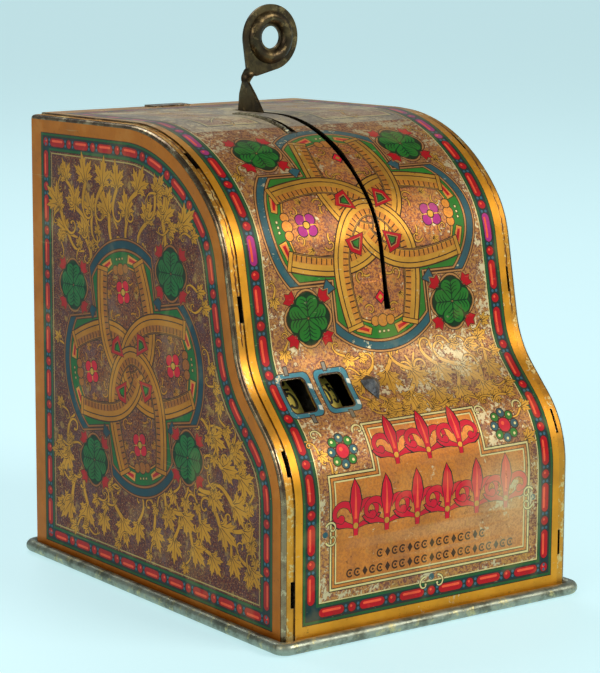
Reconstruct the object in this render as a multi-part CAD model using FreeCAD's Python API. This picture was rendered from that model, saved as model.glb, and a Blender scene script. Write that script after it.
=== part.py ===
import FreeCAD, Part
import math
import os

from FreeCAD import Vector

# A tin register bank: a folded sheet case with a curved front, a pull lever on top, two number
# drums behind windows, and a coin chute over an open cash space with a door at the back.
# Millimetres. X is across the front, Y runs from the front to the back, Z is up.
# The origin is on the table, under the middle of the base.

# ---- case ----
BODY_WIDTH = 112.4
BODY_DEPTH = 144.0
SHEET = 0.5
SEAM_GAP = 0.05
HALF_WIDTH = BODY_WIDTH / 2
FRONT_Y = -BODY_DEPTH / 2
BACK_Y = BODY_DEPTH / 2
FOOT_Z = SHEET + SEAM_GAP
REAR_TOP_Z = 150.0
FOLD_RADIUS = 1.2

# side profile of the front sheet, from the flat roof forward and down to the foot
ROOF_SLOPE = math.radians(1.1)
CROWN_RADIUS = 62.7
CROWN_TURN = math.radians(51.6)
BROW_RADIUS = 32.8
BROW_TURN = math.radians(28.4)
FACE_LENGTH = 26.1
WAIST_RADIUS = 29.1
WAIST_TURN = math.radians(32.9)
APRON_LENGTH = 11.5
SHOULDER_RADIUS = 32.9

# seams between the front sheet and the side flanges
SEAM_X = 52.3
FLANGE_WIDTH = 7.5
TAB_SLOT_PLACES = (17.3, 57.3, 107.5, 160.0)
TAB_SLOT_LENGTH = 8.0
TAB_SLOT_WIDTH = 1.7
TAB_SLOT_REACH = 3.0
TAB_LENGTH = 7.2
TAB_DEPTH = 2.2

# base tray with a rim rolled round a wire
BEAD_RADIUS = 2.0
BEAD_GAP = 0.15
BEAD_CORNER_RADIUS = 3.0

# openings in the front sheet
LEVER_X = 2.3
SLOT_TOP_WIDTH = 2.4
SLOT_FACE_WIDTH = 1.5
SLOT_END_WIDTH = 2.2
SLOT_REAR_Y = 38.0
SLOT_BEND_Y = -21.0
SLOT_NARROW_Z = 136.0
SLOT_END_Z = 94.6
SLOT_END_HEIGHT = 3.0
WINDOW_WIDTH = 8.6
WINDOW_HEIGHT = 11.7
WINDOW_CORNER = 1.5
WINDOW_PLACE = 78.7
WINDOW_CENTRES_X = (-38.9, -24.5)
COIN_SLIT_X = -7.0
COIN_SLIT_WIDTH = 2.4
COIN_SLIT_FRONT_Y = -8.0
COIN_SLIT_LENGTH = 25.6
LIP_WIDTH = 1.6
LIP_HEIGHT = 0.9
HOOD_X = -11.1
HOOD_PLACE = 77.9
HOOD_WIDTH = 6.6
HOOD_LENGTH = 9.2
HOOD_HEIGHT = 2.0
HOOD_LIFT = 0.4

# back panel and cash door
REAR_TAB_X = -4.0
REAR_TAB_WIDTH = 15.0
REAR_TAB_LENGTH = 6.0
BACK_FLANGE = 8.0
DOOR_OPENING = (-34.0, 34.0, 14.0, 102.0)
DOOR_LAP = 2.5
DOOR_THICKNESS = 0.6
DOOR_GAP = 0.12
HINGE_Y = BACK_Y + 1.9
HINGE_Z = 8.0
KNUCKLE_RADIUS = 1.6
HINGE_PIN_RADIUS = 0.8
PIN_CLEARANCE = 0.06
HINGE_KNUCKLES = 5
KNUCKLE_LENGTH = 8.0
KNUCKLE_GAP = 0.3
LOCK_Z = 63.0
LOCK_Y = 65.0
BOLT_HEIGHT = 6.0
BOLT_THICKNESS = 1.5

# number drums and their axle
WINDOW_TO_DRUM = 6.0
DRUM_FACE_RADIUS = 30.0
DRUM_WIDTH = 9.0
DRUM_WALL = 0.4
BAND_THICKNESS = 0.3
AXLE_RADIUS = 2.0
RUNNING_CLEARANCE = 0.05
HUB_RADIUS = 4.0
RATCHET_TEETH = 20
RATCHET_TIP_RADIUS = 15.0
RATCHET_ROOT_RADIUS = 12.6
RATCHET_THICKNESS = 0.8
PITCH = 360.0 / RATCHET_TEETH

# mechanism frame: three upright plates
PLATE = 0.8
LEFT_PLATE_X = -47.4
RIGHT_PLATE_X = -13.0
SUPPORT_PLATE_X = 9.2
PLATE_FOOT = 7.0
SPACERS = ((12.0, 40.0), (-52.0, 14.0))
SPACER_RADIUS = 2.2

# lever and its shaft
SHAFT_Y = 24.0
SHAFT_Z = 72.0
SHAFT_RADIUS = 3.0
SHAFT_ENDS = (-49.6, 12.2)
LEVER_THICKNESS = 1.0
LEVER_EYE_RADIUS = 8.0
NECK_Y = 31.2
NECK_Z = 160.4
NECK_WIDTH = 3.4
TWIST_LENGTH = 4.2
RING_X = 12.2
RING_Z = 175.0
RING_RADIUS = 11.0
RING_HOLE_RADIUS = 3.75
RING_CROWN_RADIUS = 6.6
RING_CROWN_SECTION = 2.3

# pawls
FEED_ARM_RADIUS = 19.0
FEED_ARM_ANGLE = math.radians(60.0)
FEED_NOSE_ANGLE = math.radians(98.0)
FEED_NOSE_LENGTH = 3.0
PAWL_PIN_RADIUS = 1.3
HOLD_ANGLE = 20.0
HOLD_REACH = 30.0
HOLD_OFFSET = 13.0
HOLD_LIFT = 6.0
PAWL_GAP = 0.15

# coin path
CHUTE_HALF_GAP = 1.6
CHUTE_TOP_Z = 145.5
CHUTE_BOTTOM_Z = 99.0
GATE_PIN_Y = 20.6
GATE_PIN_Z = 96.0
GATE_PIN_RADIUS = 1.0


# ---- side profile ----

def outward(heading):
    """Unit normal, as (y, z), of the sheet where it runs forward and down at this heading."""
    return -math.sin(heading), math.cos(heading)


def forward(heading):
    return -math.cos(heading), -math.sin(heading)


def profile_stretches():
    """The outer profile as (y, z, heading, signed radius or None, turn, length), crown to foot."""
    plan = (
        (CROWN_RADIUS, CROWN_TURN),
        (BROW_RADIUS, BROW_TURN),
        (None, FACE_LENGTH),
        (-WAIST_RADIUS, -WAIST_TURN),
        (None, APRON_LENGTH),
        (SHOULDER_RADIUS, None),
    )
    y, z, heading = 0.0, 0.0, -ROOF_SLOPE
    laid = []
    for radius, amount in plan:
        if radius is None:
            laid.append((y, z, heading, None, 0.0, amount))
            dy, dz = forward(heading)
            y, z = y + amount * dy, z + amount * dz
            continue
        turn = math.pi / 2 - heading if amount is None else amount
        laid.append((y, z, heading, radius, turn, radius * turn))
        ny, nz = outward(heading)
        cy, cz = y - ny * radius, z - nz * radius
        heading += turn
        ny, nz = outward(heading)
        y, z = cy + ny * radius, cz + nz * radius
    shift_y = FRONT_Y - y
    crown_y = laid[0][0] + shift_y
    shift_z = REAR_TOP_Z + math.tan(ROOF_SLOPE) * (BACK_Y - crown_y)
    moved = [(py + shift_y, pz + shift_z, h, r, t, n) for py, pz, h, r, t, n in laid]
    foot = z + shift_z
    moved.append((FRONT_Y, foot, math.pi / 2, None, 0.0, foot))
    return moved


STRETCHES = profile_stretches()


def on_profile(place):
    """Point and heading on the outer profile, at this distance up along the sheet from z = 0."""
    climbed = 0.0
    for y, z, heading, radius, turn, length in reversed(STRETCHES):
        if place <= climbed + length:
            travel = climbed + length - place
            if radius is None:
                dy, dz = forward(heading)
                return y + travel * dy, z + travel * dz, heading
            here = heading + travel / radius
            ny, nz = outward(heading)
            my, mz = outward(here)
            return y + (my - ny) * radius, z + (mz - nz) * radius, here
        climbed += length
    raise ValueError("place is beyond the crown")


def profile_edges(depth, rear, foot):
    """Edges of the profile set in by depth, in the plane x = 0, and their two end points."""
    edges = []
    first = STRETCHES[0]
    ny, nz = outward(first[2])
    y, z = first[0] - ny * depth, first[1] - nz * depth
    start = Vector(0, rear, z - math.tan(ROOF_SLOPE) * (rear - y))
    at = Vector(0, y, z)
    edges.append(Part.LineSegment(start, at).toShape())
    for y, z, heading, radius, turn, length in STRETCHES[:-1]:
        if radius is None:
            dy, dz = forward(heading)
            end = at + Vector(0, dy, dz) * length
            edges.append(Part.LineSegment(at, end).toShape())
            at = end
            continue
        ny, nz = outward(heading)
        centre = Vector(0, y - ny * radius, z - nz * radius)
        bent = radius - depth
        points = []
        for part in (0.5, 1.0):
            my, mz = outward(heading + turn * part)
            points.append(centre + Vector(0, my, mz) * bent)
        edges.append(Part.Arc(at, points[0], points[1]).toShape())
        at = points[1]
    end = Vector(0, at.y, foot)
    edges.append(Part.LineSegment(at, end).toShape())
    return edges, start, end


def silhouette(depth, rear, foot, x0, x1):
    """Solid filling the profile set in by depth, from x0 to x1."""
    edges, start, end = profile_edges(depth, rear, foot)
    corner = Vector(0, rear, foot)
    edges.append(Part.LineSegment(end, corner).toShape())
    edges.append(Part.LineSegment(corner, start).toShape())
    face = Part.Face(Part.Wire(Part.__sortEdges__(edges)))
    face.translate(Vector(x0, 0, 0))
    return face.extrude(Vector(x1 - x0, 0, 0))


def on_sheet(shape, x, place, lift=0.0):
    """Put a shape drawn flat (X across, Y up the sheet, Z outward) on the front sheet."""
    y, z, heading = on_profile(place)
    ny, nz = outward(heading)
    dy, dz = forward(heading)
    across = Vector(1, 0, 0)
    up = Vector(0, -dy, -dz)
    out = Vector(0, ny, nz)
    at = Vector(x, y + ny * lift, z + nz * lift)
    matrix = FreeCAD.Matrix(
        across.x, up.x, out.x, at.x,
        across.y, up.y, out.y, at.y,
        across.z, up.z, out.z, at.z,
        0, 0, 0, 1,
    )
    return shape.transformed(matrix)


# ---- plain shapes ----

def box(x0, x1, y0, y1, z0, z1):
    return Part.makeBox(x1 - x0, y1 - y0, z1 - z0, Vector(x0, y0, z0))


def rod(x0, x1, y, z, radius):
    return Part.makeCylinder(radius, x1 - x0, Vector(x0, y, z), Vector(1, 0, 0))


def ring(x0, x1, y, z, outer, inner):
    return rod(x0, x1, y, z, outer).cut(rod(x0 - 1, x1 + 1, y, z, inner))


def side_plate(points, x0, x1):
    """Flat plate whose outline is given as (y, z) points, between two x values."""
    corners = [Vector(x0, y, z) for y, z in points]
    wire = Part.makePolygon(corners + corners[:1])
    return Part.Face(wire).extrude(Vector(x1 - x0, 0, 0))


def flat_plate(points, z0, z1):
    """Flat plate whose outline is given as (x, y) points, between two z values."""
    corners = [Vector(x, y, z0) for x, y in points]
    wire = Part.makePolygon(corners + corners[:1])
    return Part.Face(wire).extrude(Vector(0, 0, z1 - z0))


def joined(shapes):
    whole = shapes[0].multiFuse(shapes[1:]) if len(shapes) > 1 else shapes[0]
    return whole.removeSplitter()


def rounded_rectangle(width, height, corner, z0, z1):
    """Prism with rounded corners, centred on the Z axis."""
    slab = Part.makeBox(width, height, z1 - z0, Vector(-width / 2, -height / 2, z0))
    posts = [e for e in slab.Edges if abs(e.Vertexes[0].Z - e.Vertexes[1].Z) > 0.5 * (z1 - z0)]
    return slab.makeFillet(corner, posts)


def domed_rivet(at, axis, radius, height):
    """Low rounded head, flat side at the point, dome along the axis."""
    ball_radius = (radius * radius + height * height) / (2 * height)
    centre = at - axis * (ball_radius - height)
    ball = Part.makeSphere(ball_radius, centre)
    keep = Part.makeCylinder(radius, height + 0.1, at, axis)
    return ball.common(keep)


# ---- case ----

def base_plate():
    x = HALF_WIDTH + BEAD_GAP + BEAD_RADIUS
    y = BACK_Y + BEAD_GAP + BEAD_RADIUS
    r = BEAD_CORNER_RADIUS
    tray = rounded_rectangle(2 * x, 2 * y, r, 0, SHEET)
    runs = []
    for side in (-1, 1):
        along_side = Vector(side * x, r - y, BEAD_RADIUS)
        along_end = Vector(r - x, side * y, BEAD_RADIUS)
        runs.append(Part.makeCylinder(BEAD_RADIUS, 2 * (y - r), along_side, Vector(0, 1, 0)))
        runs.append(Part.makeCylinder(BEAD_RADIUS, 2 * (x - r), along_end, Vector(1, 0, 0)))
    for sx in (-1, 1):
        for sy in (-1, 1):
            centre = Vector(sx * (x - r), sy * (y - r), BEAD_RADIUS)
            bend = Part.makeTorus(r, BEAD_RADIUS, centre, Vector(0, 0, 1))
            runs.append(bend.common(quadrant(centre, sx, sy, r + BEAD_RADIUS)))
    return joined([tray] + runs)


def quadrant(centre, sx, sy, size):
    size += 1
    x0, x1 = sorted((centre.x, centre.x + sx * size))
    y0, y1 = sorted((centre.y, centre.y + sy * size))
    return box(x0, x1, y0, y1, centre.z - size, centre.z + size)


def tab_slot(place, side):
    """Cutter for one slot through the flange, just outside the seam."""
    corner = Vector(-TAB_SLOT_WIDTH / 2, -TAB_SLOT_LENGTH / 2, -TAB_SLOT_REACH)
    cutter = Part.makeBox(TAB_SLOT_WIDTH, TAB_SLOT_LENGTH, 2 * TAB_SLOT_REACH, corner)
    inner_edge = SEAM_X - SHEET - SEAM_GAP
    return on_sheet(cutter, side * (inner_edge + TAB_SLOT_WIDTH / 2), place)


def left_side_panel():
    depth = SHEET + SEAM_GAP
    inner_x = FLANGE_WIDTH - HALF_WIDTH
    outer = silhouette(depth, BACK_Y, FOOT_Z, -HALF_WIDTH, inner_x)
    outer = outer.makeFillet(FOLD_RADIUS, fold_edges(outer, -HALF_WIDTH, BACK_Y, FOOT_Z))
    hollow_x = SHEET - HALF_WIDTH
    hollow = silhouette(depth + SHEET, BACK_Y + 5, FOOT_Z - 5, hollow_x, inner_x + 5)
    hollow = hollow.makeFillet(FOLD_RADIUS - SHEET, fold_edges(hollow, hollow_x, BACK_Y + 5, FOOT_Z - 5))
    panel = outer.cut(hollow)
    for place in TAB_SLOT_PLACES:
        panel = panel.cut(tab_slot(place, -1))
    return panel


def fold_edges(solid, x, rear, foot):
    """Edges of the profile at one x, leaving out the rear and the foot."""
    found = []
    for edge in solid.Edges:
        bounds = edge.BoundBox
        at_rear = bounds.YMin > rear - 0.01
        at_foot = bounds.ZMax < foot + 0.01
        if abs(bounds.XMin - x) < 0.001 and abs(bounds.XMax - x) < 0.001 and not at_rear and not at_foot:
            found.append(edge)
    return found


def right_side_panel():
    return left_side_panel().mirror(Vector(0, 0, 0), Vector(1, 0, 0))


def lever_slot():
    """Cutter for the lever's slot: wide on the roof, narrow on the face, with an eased lower end."""
    wide, narrow, end = SLOT_TOP_WIDTH / 2, SLOT_FACE_WIDTH / 2, SLOT_END_WIDTH / 2
    roof = box(LEVER_X - wide, LEVER_X + wide, SLOT_BEND_Y, SLOT_REAR_Y, 130, 160)
    right = (
        (wide, 145.0),
        (wide, 141.0),
        (narrow, SLOT_NARROW_Z),
        (narrow, SLOT_END_Z + 2 * SLOT_END_HEIGHT),
        (end, SLOT_END_Z + SLOT_END_HEIGHT),
        (end, SLOT_END_Z),
    )
    outline = [(LEVER_X + w, z) for w, z in right] + [(LEVER_X - w, z) for w, z in reversed(right)]
    corners = [Vector(x, FRONT_Y - 1, z) for x, z in outline]
    face = Part.Face(Part.makePolygon(corners + corners[:1]))
    return joined([roof, face.extrude(Vector(0, SLOT_BEND_Y + 1 - FRONT_Y, 0))])


def window(x):
    cutter = rounded_rectangle(WINDOW_WIDTH, WINDOW_HEIGHT, WINDOW_CORNER, -3, 3)
    return on_sheet(cutter, x, WINDOW_PLACE)


def coin_slit(margin=0.0):
    half = COIN_SLIT_WIDTH / 2 + margin
    rear = COIN_SLIT_FRONT_Y + COIN_SLIT_LENGTH + margin
    return box(COIN_SLIT_X - half, COIN_SLIT_X + half, COIN_SLIT_FRONT_Y - margin, rear, 140, 160)


def rear_tab_notch():
    half = REAR_TAB_WIDTH / 2 + 0.3
    return box(REAR_TAB_X - half, REAR_TAB_X + half, BACK_Y - SHEET - 0.1, BACK_Y + 1, 140, 160)


def front_top_sheet():
    outer = silhouette(0, BACK_Y, FOOT_Z, -SEAM_X, SEAM_X)
    inner = silhouette(SHEET, BACK_Y + 5, FOOT_Z - 5, -SEAM_X - 1, SEAM_X + 1)
    sheet = outer.cut(inner)
    for cutter in [lever_slot(), coin_slit(), rear_tab_notch()] + [window(x) for x in WINDOW_CENTRES_X]:
        sheet = sheet.cut(cutter)
    tabs = []
    corner = Vector(-SHEET / 2, -TAB_LENGTH / 2, -TAB_DEPTH - 0.1)
    for place in TAB_SLOT_PLACES:
        for side in (-1, 1):
            tab = Part.makeBox(SHEET, TAB_LENGTH, TAB_DEPTH, corner)
            tabs.append(on_sheet(tab, side * (SEAM_X - SHEET / 2), place))
    return joined([sheet] + tabs)


def coin_slot_lip():
    """Low bar along the left of the coin slit, chamfered along its top edges and its ends."""
    x = COIN_SLIT_X - COIN_SLIT_WIDTH / 2 - LIP_WIDTH / 2
    y0, y1 = COIN_SLIT_FRONT_Y - 1, COIN_SLIT_FRONT_Y + COIN_SLIT_LENGTH + 4
    shapes = []
    steps = ((0.45, LIP_WIDTH, 0.0), (0.7, LIP_WIDTH - 0.4, 1.2), (LIP_HEIGHT, LIP_WIDTH - 0.9, 2.4))
    for height, width, inset in steps:
        top = silhouette(-height, BACK_Y, FOOT_Z, x - width / 2, x + width / 2)
        shapes.append(top.common(box(x - LIP_WIDTH, x + LIP_WIDTH, y0 + inset, y1 - inset, 130, 160)))
    under = silhouette(-SEAM_GAP, BACK_Y + 5, FOOT_Z - 5, x - LIP_WIDTH, x + LIP_WIDTH)
    return joined(shapes).cut(under)


def front_hood():
    """Pressed shield with a central ridge, point down."""
    half = HOOD_WIDTH / 2
    shoulder = HOOD_LENGTH * 0.32
    rim = [
        Vector(0, HOOD_LENGTH / 2, 0),
        Vector(half, shoulder, 0),
        Vector(half * 0.9, HOOD_LENGTH * 0.05, 0),
        Vector(0, -HOOD_LENGTH / 2, 0),
        Vector(-half * 0.9, HOOD_LENGTH * 0.05, 0),
        Vector(-half, shoulder, 0),
    ]
    crest = Vector(0, HOOD_LENGTH * 0.2, HOOD_HEIGHT)
    faces = [Part.Face(Part.makePolygon([a, b, crest, a])) for a, b in zip(rim, rim[1:] + rim[:1])]
    faces.append(Part.Face(Part.makePolygon(rim + rim[:1])))
    solid = Part.Solid(Part.Shell(faces))
    if solid.Volume < 0:
        solid.reverse()
    return on_sheet(solid, HOOD_X, HOOD_PLACE, HOOD_LIFT)


def back_panel():
    inner_x = HALF_WIDTH - SHEET - SEAM_GAP
    y0, y1 = BACK_Y - SHEET, BACK_Y
    top = REAR_TOP_Z - SHEET - 2 * SEAM_GAP
    wall = box(-inner_x, inner_x, y0, y1, FOOT_Z, top - SHEET)
    x0, x1, z0, z1 = DOOR_OPENING
    wall = wall.cut(box(x0, x1, y0 - 1, y1 + 1, z0, z1))
    flanges = [
        box(-inner_x, SHEET - inner_x, y1 - BACK_FLANGE, y1, FOOT_Z, top - 2),
        box(inner_x - SHEET, inner_x, y1 - BACK_FLANGE, y1, FOOT_Z, top - 2),
    ]
    half = REAR_TAB_WIDTH / 2
    fold_z = REAR_TOP_Z + 0.2
    tab = [
        box(REAR_TAB_X - half, REAR_TAB_X + half, y0, y1, top - 2, fold_z + SHEET),
        box(REAR_TAB_X - half, REAR_TAB_X + half, y1 - REAR_TAB_LENGTH, y1, fold_z, fold_z + SHEET),
    ]
    roof_flange = [
        box(-48, REAR_TAB_X - half - 2, y1 - BACK_FLANGE, y1, top - SHEET, top),
        box(REAR_TAB_X + half + 2, 48, y1 - BACK_FLANGE, y1, top - SHEET, top),
        box(REAR_TAB_X - half - 2.5, REAR_TAB_X + half + 2.5, y0, y1, top - 2 * SHEET, top - SHEET + 0.2),
    ]
    return joined([wall] + flanges + tab + roof_flange)


# ---- cash door ----

def cash_door():
    x0, x1, z0, z1 = DOOR_OPENING
    y0 = BACK_Y + DOOR_GAP
    plate = rounded_rectangle(x1 - x0 + 2 * DOOR_LAP, z1 - z0 + 2 * DOOR_LAP, 3.0, 0, DOOR_THICKNESS)
    plate.rotate(Vector(0, 0, 0), Vector(1, 0, 0), 90)
    plate.translate(Vector((x0 + x1) / 2, y0 + DOOR_THICKNESS, (z0 + z1) / 2))
    return plate


def door_pull():
    """Turned knob riveted near the top of the door."""
    y = BACK_Y + DOOR_GAP + DOOR_THICKNESS + 0.01
    z = DOOR_OPENING[3] - 8
    stem = Part.makeCylinder(1.6, 1.4, Vector(0, y, z), Vector(0, 1, 0))
    head = Part.makeCylinder(3.6, 1.8, Vector(0, y + 1.4, z), Vector(0, 1, 0))
    rims = [e for e in head.Edges if e.BoundBox.ZLength > 5]
    return joined([stem, head.makeFillet(0.6, rims)])


def hinge_knuckle(index):
    total = HINGE_KNUCKLES * KNUCKLE_LENGTH
    x0 = -total / 2 + index * KNUCKLE_LENGTH + KNUCKLE_GAP / 2
    return rod(x0, x0 + KNUCKLE_LENGTH - KNUCKLE_GAP, HINGE_Y, HINGE_Z, KNUCKLE_RADIUS)


def hinge_leaf(indices, y0, z0, z1):
    total = HINGE_KNUCKLES * KNUCKLE_LENGTH
    shapes = [box(-total / 2, total / 2, y0, y0 + 0.4, z0, z1)]
    for index in indices:
        x0 = -total / 2 + index * KNUCKLE_LENGTH + KNUCKLE_GAP / 2
        low, high = sorted((HINGE_Z, z0 if z0 > HINGE_Z else z1))
        shapes.append(box(x0, x0 + KNUCKLE_LENGTH - KNUCKLE_GAP, y0, y0 + 0.4, low, high))
        shapes.append(hinge_knuckle(index))
    bore = rod(-total, total, HINGE_Y, HINGE_Z, HINGE_PIN_RADIUS + PIN_CLEARANCE)
    return joined(shapes).cut(bore)


def hinge_fixed_leaf():
    return hinge_leaf((0, 2, 4), BACK_Y + 0.02, 4.4, HINGE_Z - KNUCKLE_RADIUS - 0.3)


def hinge_door_leaf():
    face = BACK_Y + DOOR_GAP + DOOR_THICKNESS + 0.02
    return hinge_leaf((1, 3), face, HINGE_Z + KNUCKLE_RADIUS + 2.1, 19.0)


def door_hinge_pin():
    half = HINGE_KNUCKLES * KNUCKLE_LENGTH / 2 + 0.6
    pin = rod(-half, half, HINGE_Y, HINGE_Z, HINGE_PIN_RADIUS)
    heads = [rod(-half - 0.8, -half, HINGE_Y, HINGE_Z, 1.4), rod(half, half + 0.8, HINGE_Y, HINGE_Z, 1.4)]
    return joined([pin] + heads)


def door_keeper():
    """Staple on the inside of the door that the lock bolt slides into."""
    x0, x1 = 28.0, 33.0
    y1 = BACK_Y + DOOR_GAP - 0.02
    half = BOLT_HEIGHT / 2 + 0.8
    legs = [
        box(x0, x1, LOCK_Y - 2.8, y1, LOCK_Z + half, LOCK_Z + half + 0.8),
        box(x0, x1, LOCK_Y - 2.8, y1, LOCK_Z - half - 0.8, LOCK_Z - half),
        box(x0, x1, LOCK_Y - 2.8, LOCK_Y - 2.0, LOCK_Z - half - 0.8, LOCK_Z + half + 0.8),
    ]
    return joined(legs)


def lock_bolt():
    bar = box(36.5, 53.0, LOCK_Y - BOLT_THICKNESS / 2, LOCK_Y + BOLT_THICKNESS / 2,
              LOCK_Z - BOLT_HEIGHT / 2, LOCK_Z + BOLT_HEIGHT / 2)
    lug = box(45.6, 47.4, LOCK_Y - 4.5, LOCK_Y, LOCK_Z - 1.5, LOCK_Z + 1.5)
    return joined([bar, lug])


def lock_bolt_guides():
    """Two staples on the back panel that carry the lock bolt."""
    guides = []
    half = BOLT_HEIGHT / 2 + 0.2
    near = LOCK_Y - BOLT_THICKNESS / 2 - 0.2
    for x0, x1 in ((36.9, 39.4), (47.6, 50.6)):
        legs = [
            box(x0, x1, near - 0.8, BACK_Y - SHEET - 0.02, LOCK_Z + half, LOCK_Z + half + 0.8),
            box(x0, x1, near - 0.8, BACK_Y - SHEET - 0.02, LOCK_Z - half - 0.8, LOCK_Z - half),
            box(x0, x1, near - 0.8, near, LOCK_Z - half - 0.8, LOCK_Z + half + 0.8),
        ]
        guides.append(joined(legs))
    return Part.makeCompound(guides)


# ---- drums ----

def drum_axis():
    """Centre of the drums, straight behind the windows, as (y, z)."""
    y, z, heading = on_profile(WINDOW_PLACE)
    ny, nz = outward(heading)
    depth = WINDOW_TO_DRUM + DRUM_FACE_RADIUS
    return y - ny * depth, z - nz * depth


DRUM_Y, DRUM_Z = drum_axis()
DOLLARS_X = WINDOW_CENTRES_X[0] - DRUM_WIDTH / 2 - 0.2
CENTS_X = WINDOW_CENTRES_X[1] - DRUM_WIDTH / 2
DOLLARS_RATCHET_X = DOLLARS_X + DRUM_WIDTH + 0.4
CENTS_RATCHET_X = CENTS_X - 0.4 - RATCHET_THICKNESS


def number_drum(x0, web_side):
    """Spun cup with a rim, a web on one side and a hub."""
    outer = DRUM_FACE_RADIUS - BAND_THICKNESS
    x1 = x0 + DRUM_WIDTH
    web_x = x0 if web_side < 0 else x1 - DRUM_WALL
    rim = ring(x0, x1, DRUM_Y, DRUM_Z, outer, outer - DRUM_WALL)
    web = rod(web_x, web_x + DRUM_WALL, DRUM_Y, DRUM_Z, outer)
    hub = rod(x0, x1, DRUM_Y, DRUM_Z, HUB_RADIUS)
    bore = rod(x0 - 1, x1 + 1, DRUM_Y, DRUM_Z, AXLE_RADIUS + RUNNING_CLEARANCE)
    return joined([rim, web, hub]).cut(bore)


def number_band(x0):
    inner = DRUM_FACE_RADIUS - BAND_THICKNESS
    return ring(x0, x0 + DRUM_WIDTH, DRUM_Y, DRUM_Z, DRUM_FACE_RADIUS, inner)


def polar(radius, degrees):
    angle = math.radians(degrees)
    return DRUM_Y + radius * math.cos(angle), DRUM_Z + radius * math.sin(angle)


def ratchet_wheel(x0, boss_x0, boss_x1):
    """Saw-toothed disc; the steep faces point against the feed direction."""
    outline = []
    for tooth in range(RATCHET_TEETH):
        angle = HOLD_ANGLE + tooth * PITCH
        outline.append(polar(RATCHET_ROOT_RADIUS, angle))
        outline.append(polar(RATCHET_TIP_RADIUS, angle))
    disc = side_plate(outline, x0, x0 + RATCHET_THICKNESS)
    boss = rod(boss_x0, boss_x1, DRUM_Y, DRUM_Z, 6.0)
    bore = rod(x0 - 5, x0 + 5, DRUM_Y, DRUM_Z, AXLE_RADIUS + RUNNING_CLEARANCE)
    return joined([disc, boss]).cut(bore)


def dollars_ratchet_wheel():
    x0 = DOLLARS_RATCHET_X
    return ratchet_wheel(x0, DOLLARS_X + DRUM_WIDTH, x0 + RATCHET_THICKNESS)


def cents_ratchet_wheel():
    x0 = CENTS_RATCHET_X
    return ratchet_wheel(x0, x0, CENTS_X)


def drum_axle():
    x0, x1 = LEFT_PLATE_X, RIGHT_PLATE_X + PLATE
    heads = [
        rod(x0 - 1.0, x0 - 0.02, DRUM_Y, DRUM_Z, 3.4),
        rod(x1 + 0.02, x1 + 1.0, DRUM_Y, DRUM_Z, 3.4),
    ]
    return joined([rod(x0 - 1.0, x1 + 1.0, DRUM_Y, DRUM_Z, AXLE_RADIUS)] + heads)


def axle_collars():
    """Loose tubes that space the wheels along the axle."""
    end_play = 0.15
    spans = (
        (LEFT_PLATE_X + PLATE + 0.02, DOLLARS_X - end_play),
        (DOLLARS_RATCHET_X + RATCHET_THICKNESS + end_play, CENTS_RATCHET_X - end_play),
        (CENTS_X + DRUM_WIDTH + end_play, RIGHT_PLATE_X - 0.02),
    )
    inner = AXLE_RADIUS + 0.01
    return Part.makeCompound([ring(x0, x1, DRUM_Y, DRUM_Z, 3.4, inner) for x0, x1 in spans])


# ---- mechanism frame ----

PLATE_OUTLINE = (
    (-56.0, FOOT_Z), (34.0, FOOT_Z), (34.0, 78.0), (29.0, 83.0), (19.0, 83.0), (-6.0, 57.0),
    (-27.7, 57.0), (-36.0, 50.0), (-56.0, 22.0),
)
SUPPORT_OUTLINE = (
    (6.0, FOOT_Z), (42.0, FOOT_Z), (34.0, 78.0), (29.0, 83.0), (19.0, 83.0), (14.0, 78.0),
)


def foot_flange(x0, direction, y0, y1):
    """The plate's lower edge, bent over to lie on the tray."""
    low, high = sorted((x0, x0 + direction * PLATE_FOOT))
    return box(low, high, y0, y1, FOOT_Z, FOOT_Z + PLATE)


def mechanism_plate(x0, direction):
    plate = side_plate(PLATE_OUTLINE, x0, x0 + PLATE)
    plate = joined([plate, foot_flange(x0 + (PLATE if direction > 0 else 0), direction, -50.0, 28.0)])
    holes = [(DRUM_Y, DRUM_Z, AXLE_RADIUS + 0.01), (SHAFT_Y, SHAFT_Z, SHAFT_RADIUS + PIN_CLEARANCE),
             (*pawl_pivot(), PAWL_PIN_RADIUS + 0.01)]
    holes += [(y, z, SPACER_RADIUS - 0.69) for y, z in SPACERS]
    for y, z, radius in holes:
        plate = plate.cut(rod(x0 - 1, x0 + PLATE + 1, y, z, radius))
    return plate


def left_mechanism_plate():
    return mechanism_plate(LEFT_PLATE_X, 1)


def right_mechanism_plate():
    return mechanism_plate(RIGHT_PLATE_X, -1)


def lever_support_plate():
    x0 = SUPPORT_PLATE_X
    plate = side_plate(SUPPORT_OUTLINE, x0, x0 + PLATE)
    plate = joined([plate, foot_flange(x0 + PLATE, 1, 10.0, 38.0)])
    return plate.cut(rod(x0 - 1, x0 + PLATE + 1, SHAFT_Y, SHAFT_Z, SHAFT_RADIUS + PIN_CLEARANCE))


def frame_spacers():
    """Shouldered rods, riveted over outside the plates."""
    x0, x1 = LEFT_PLATE_X + PLATE + 0.02, RIGHT_PLATE_X - 0.02
    neck = SPACER_RADIUS - 0.7
    rods = []
    for y, z in SPACERS:
        parts = [
            rod(x0, x1, y, z, SPACER_RADIUS),
            rod(LEFT_PLATE_X - 0.8, RIGHT_PLATE_X + PLATE + 0.8, y, z, neck),
            rod(LEFT_PLATE_X - 0.8, LEFT_PLATE_X - 0.02, y, z, SPACER_RADIUS),
            rod(RIGHT_PLATE_X + PLATE + 0.02, RIGHT_PLATE_X + PLATE + 0.8, y, z, SPACER_RADIUS),
        ]
        rods.append(joined(parts))
    return Part.makeCompound(rods)


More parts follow.
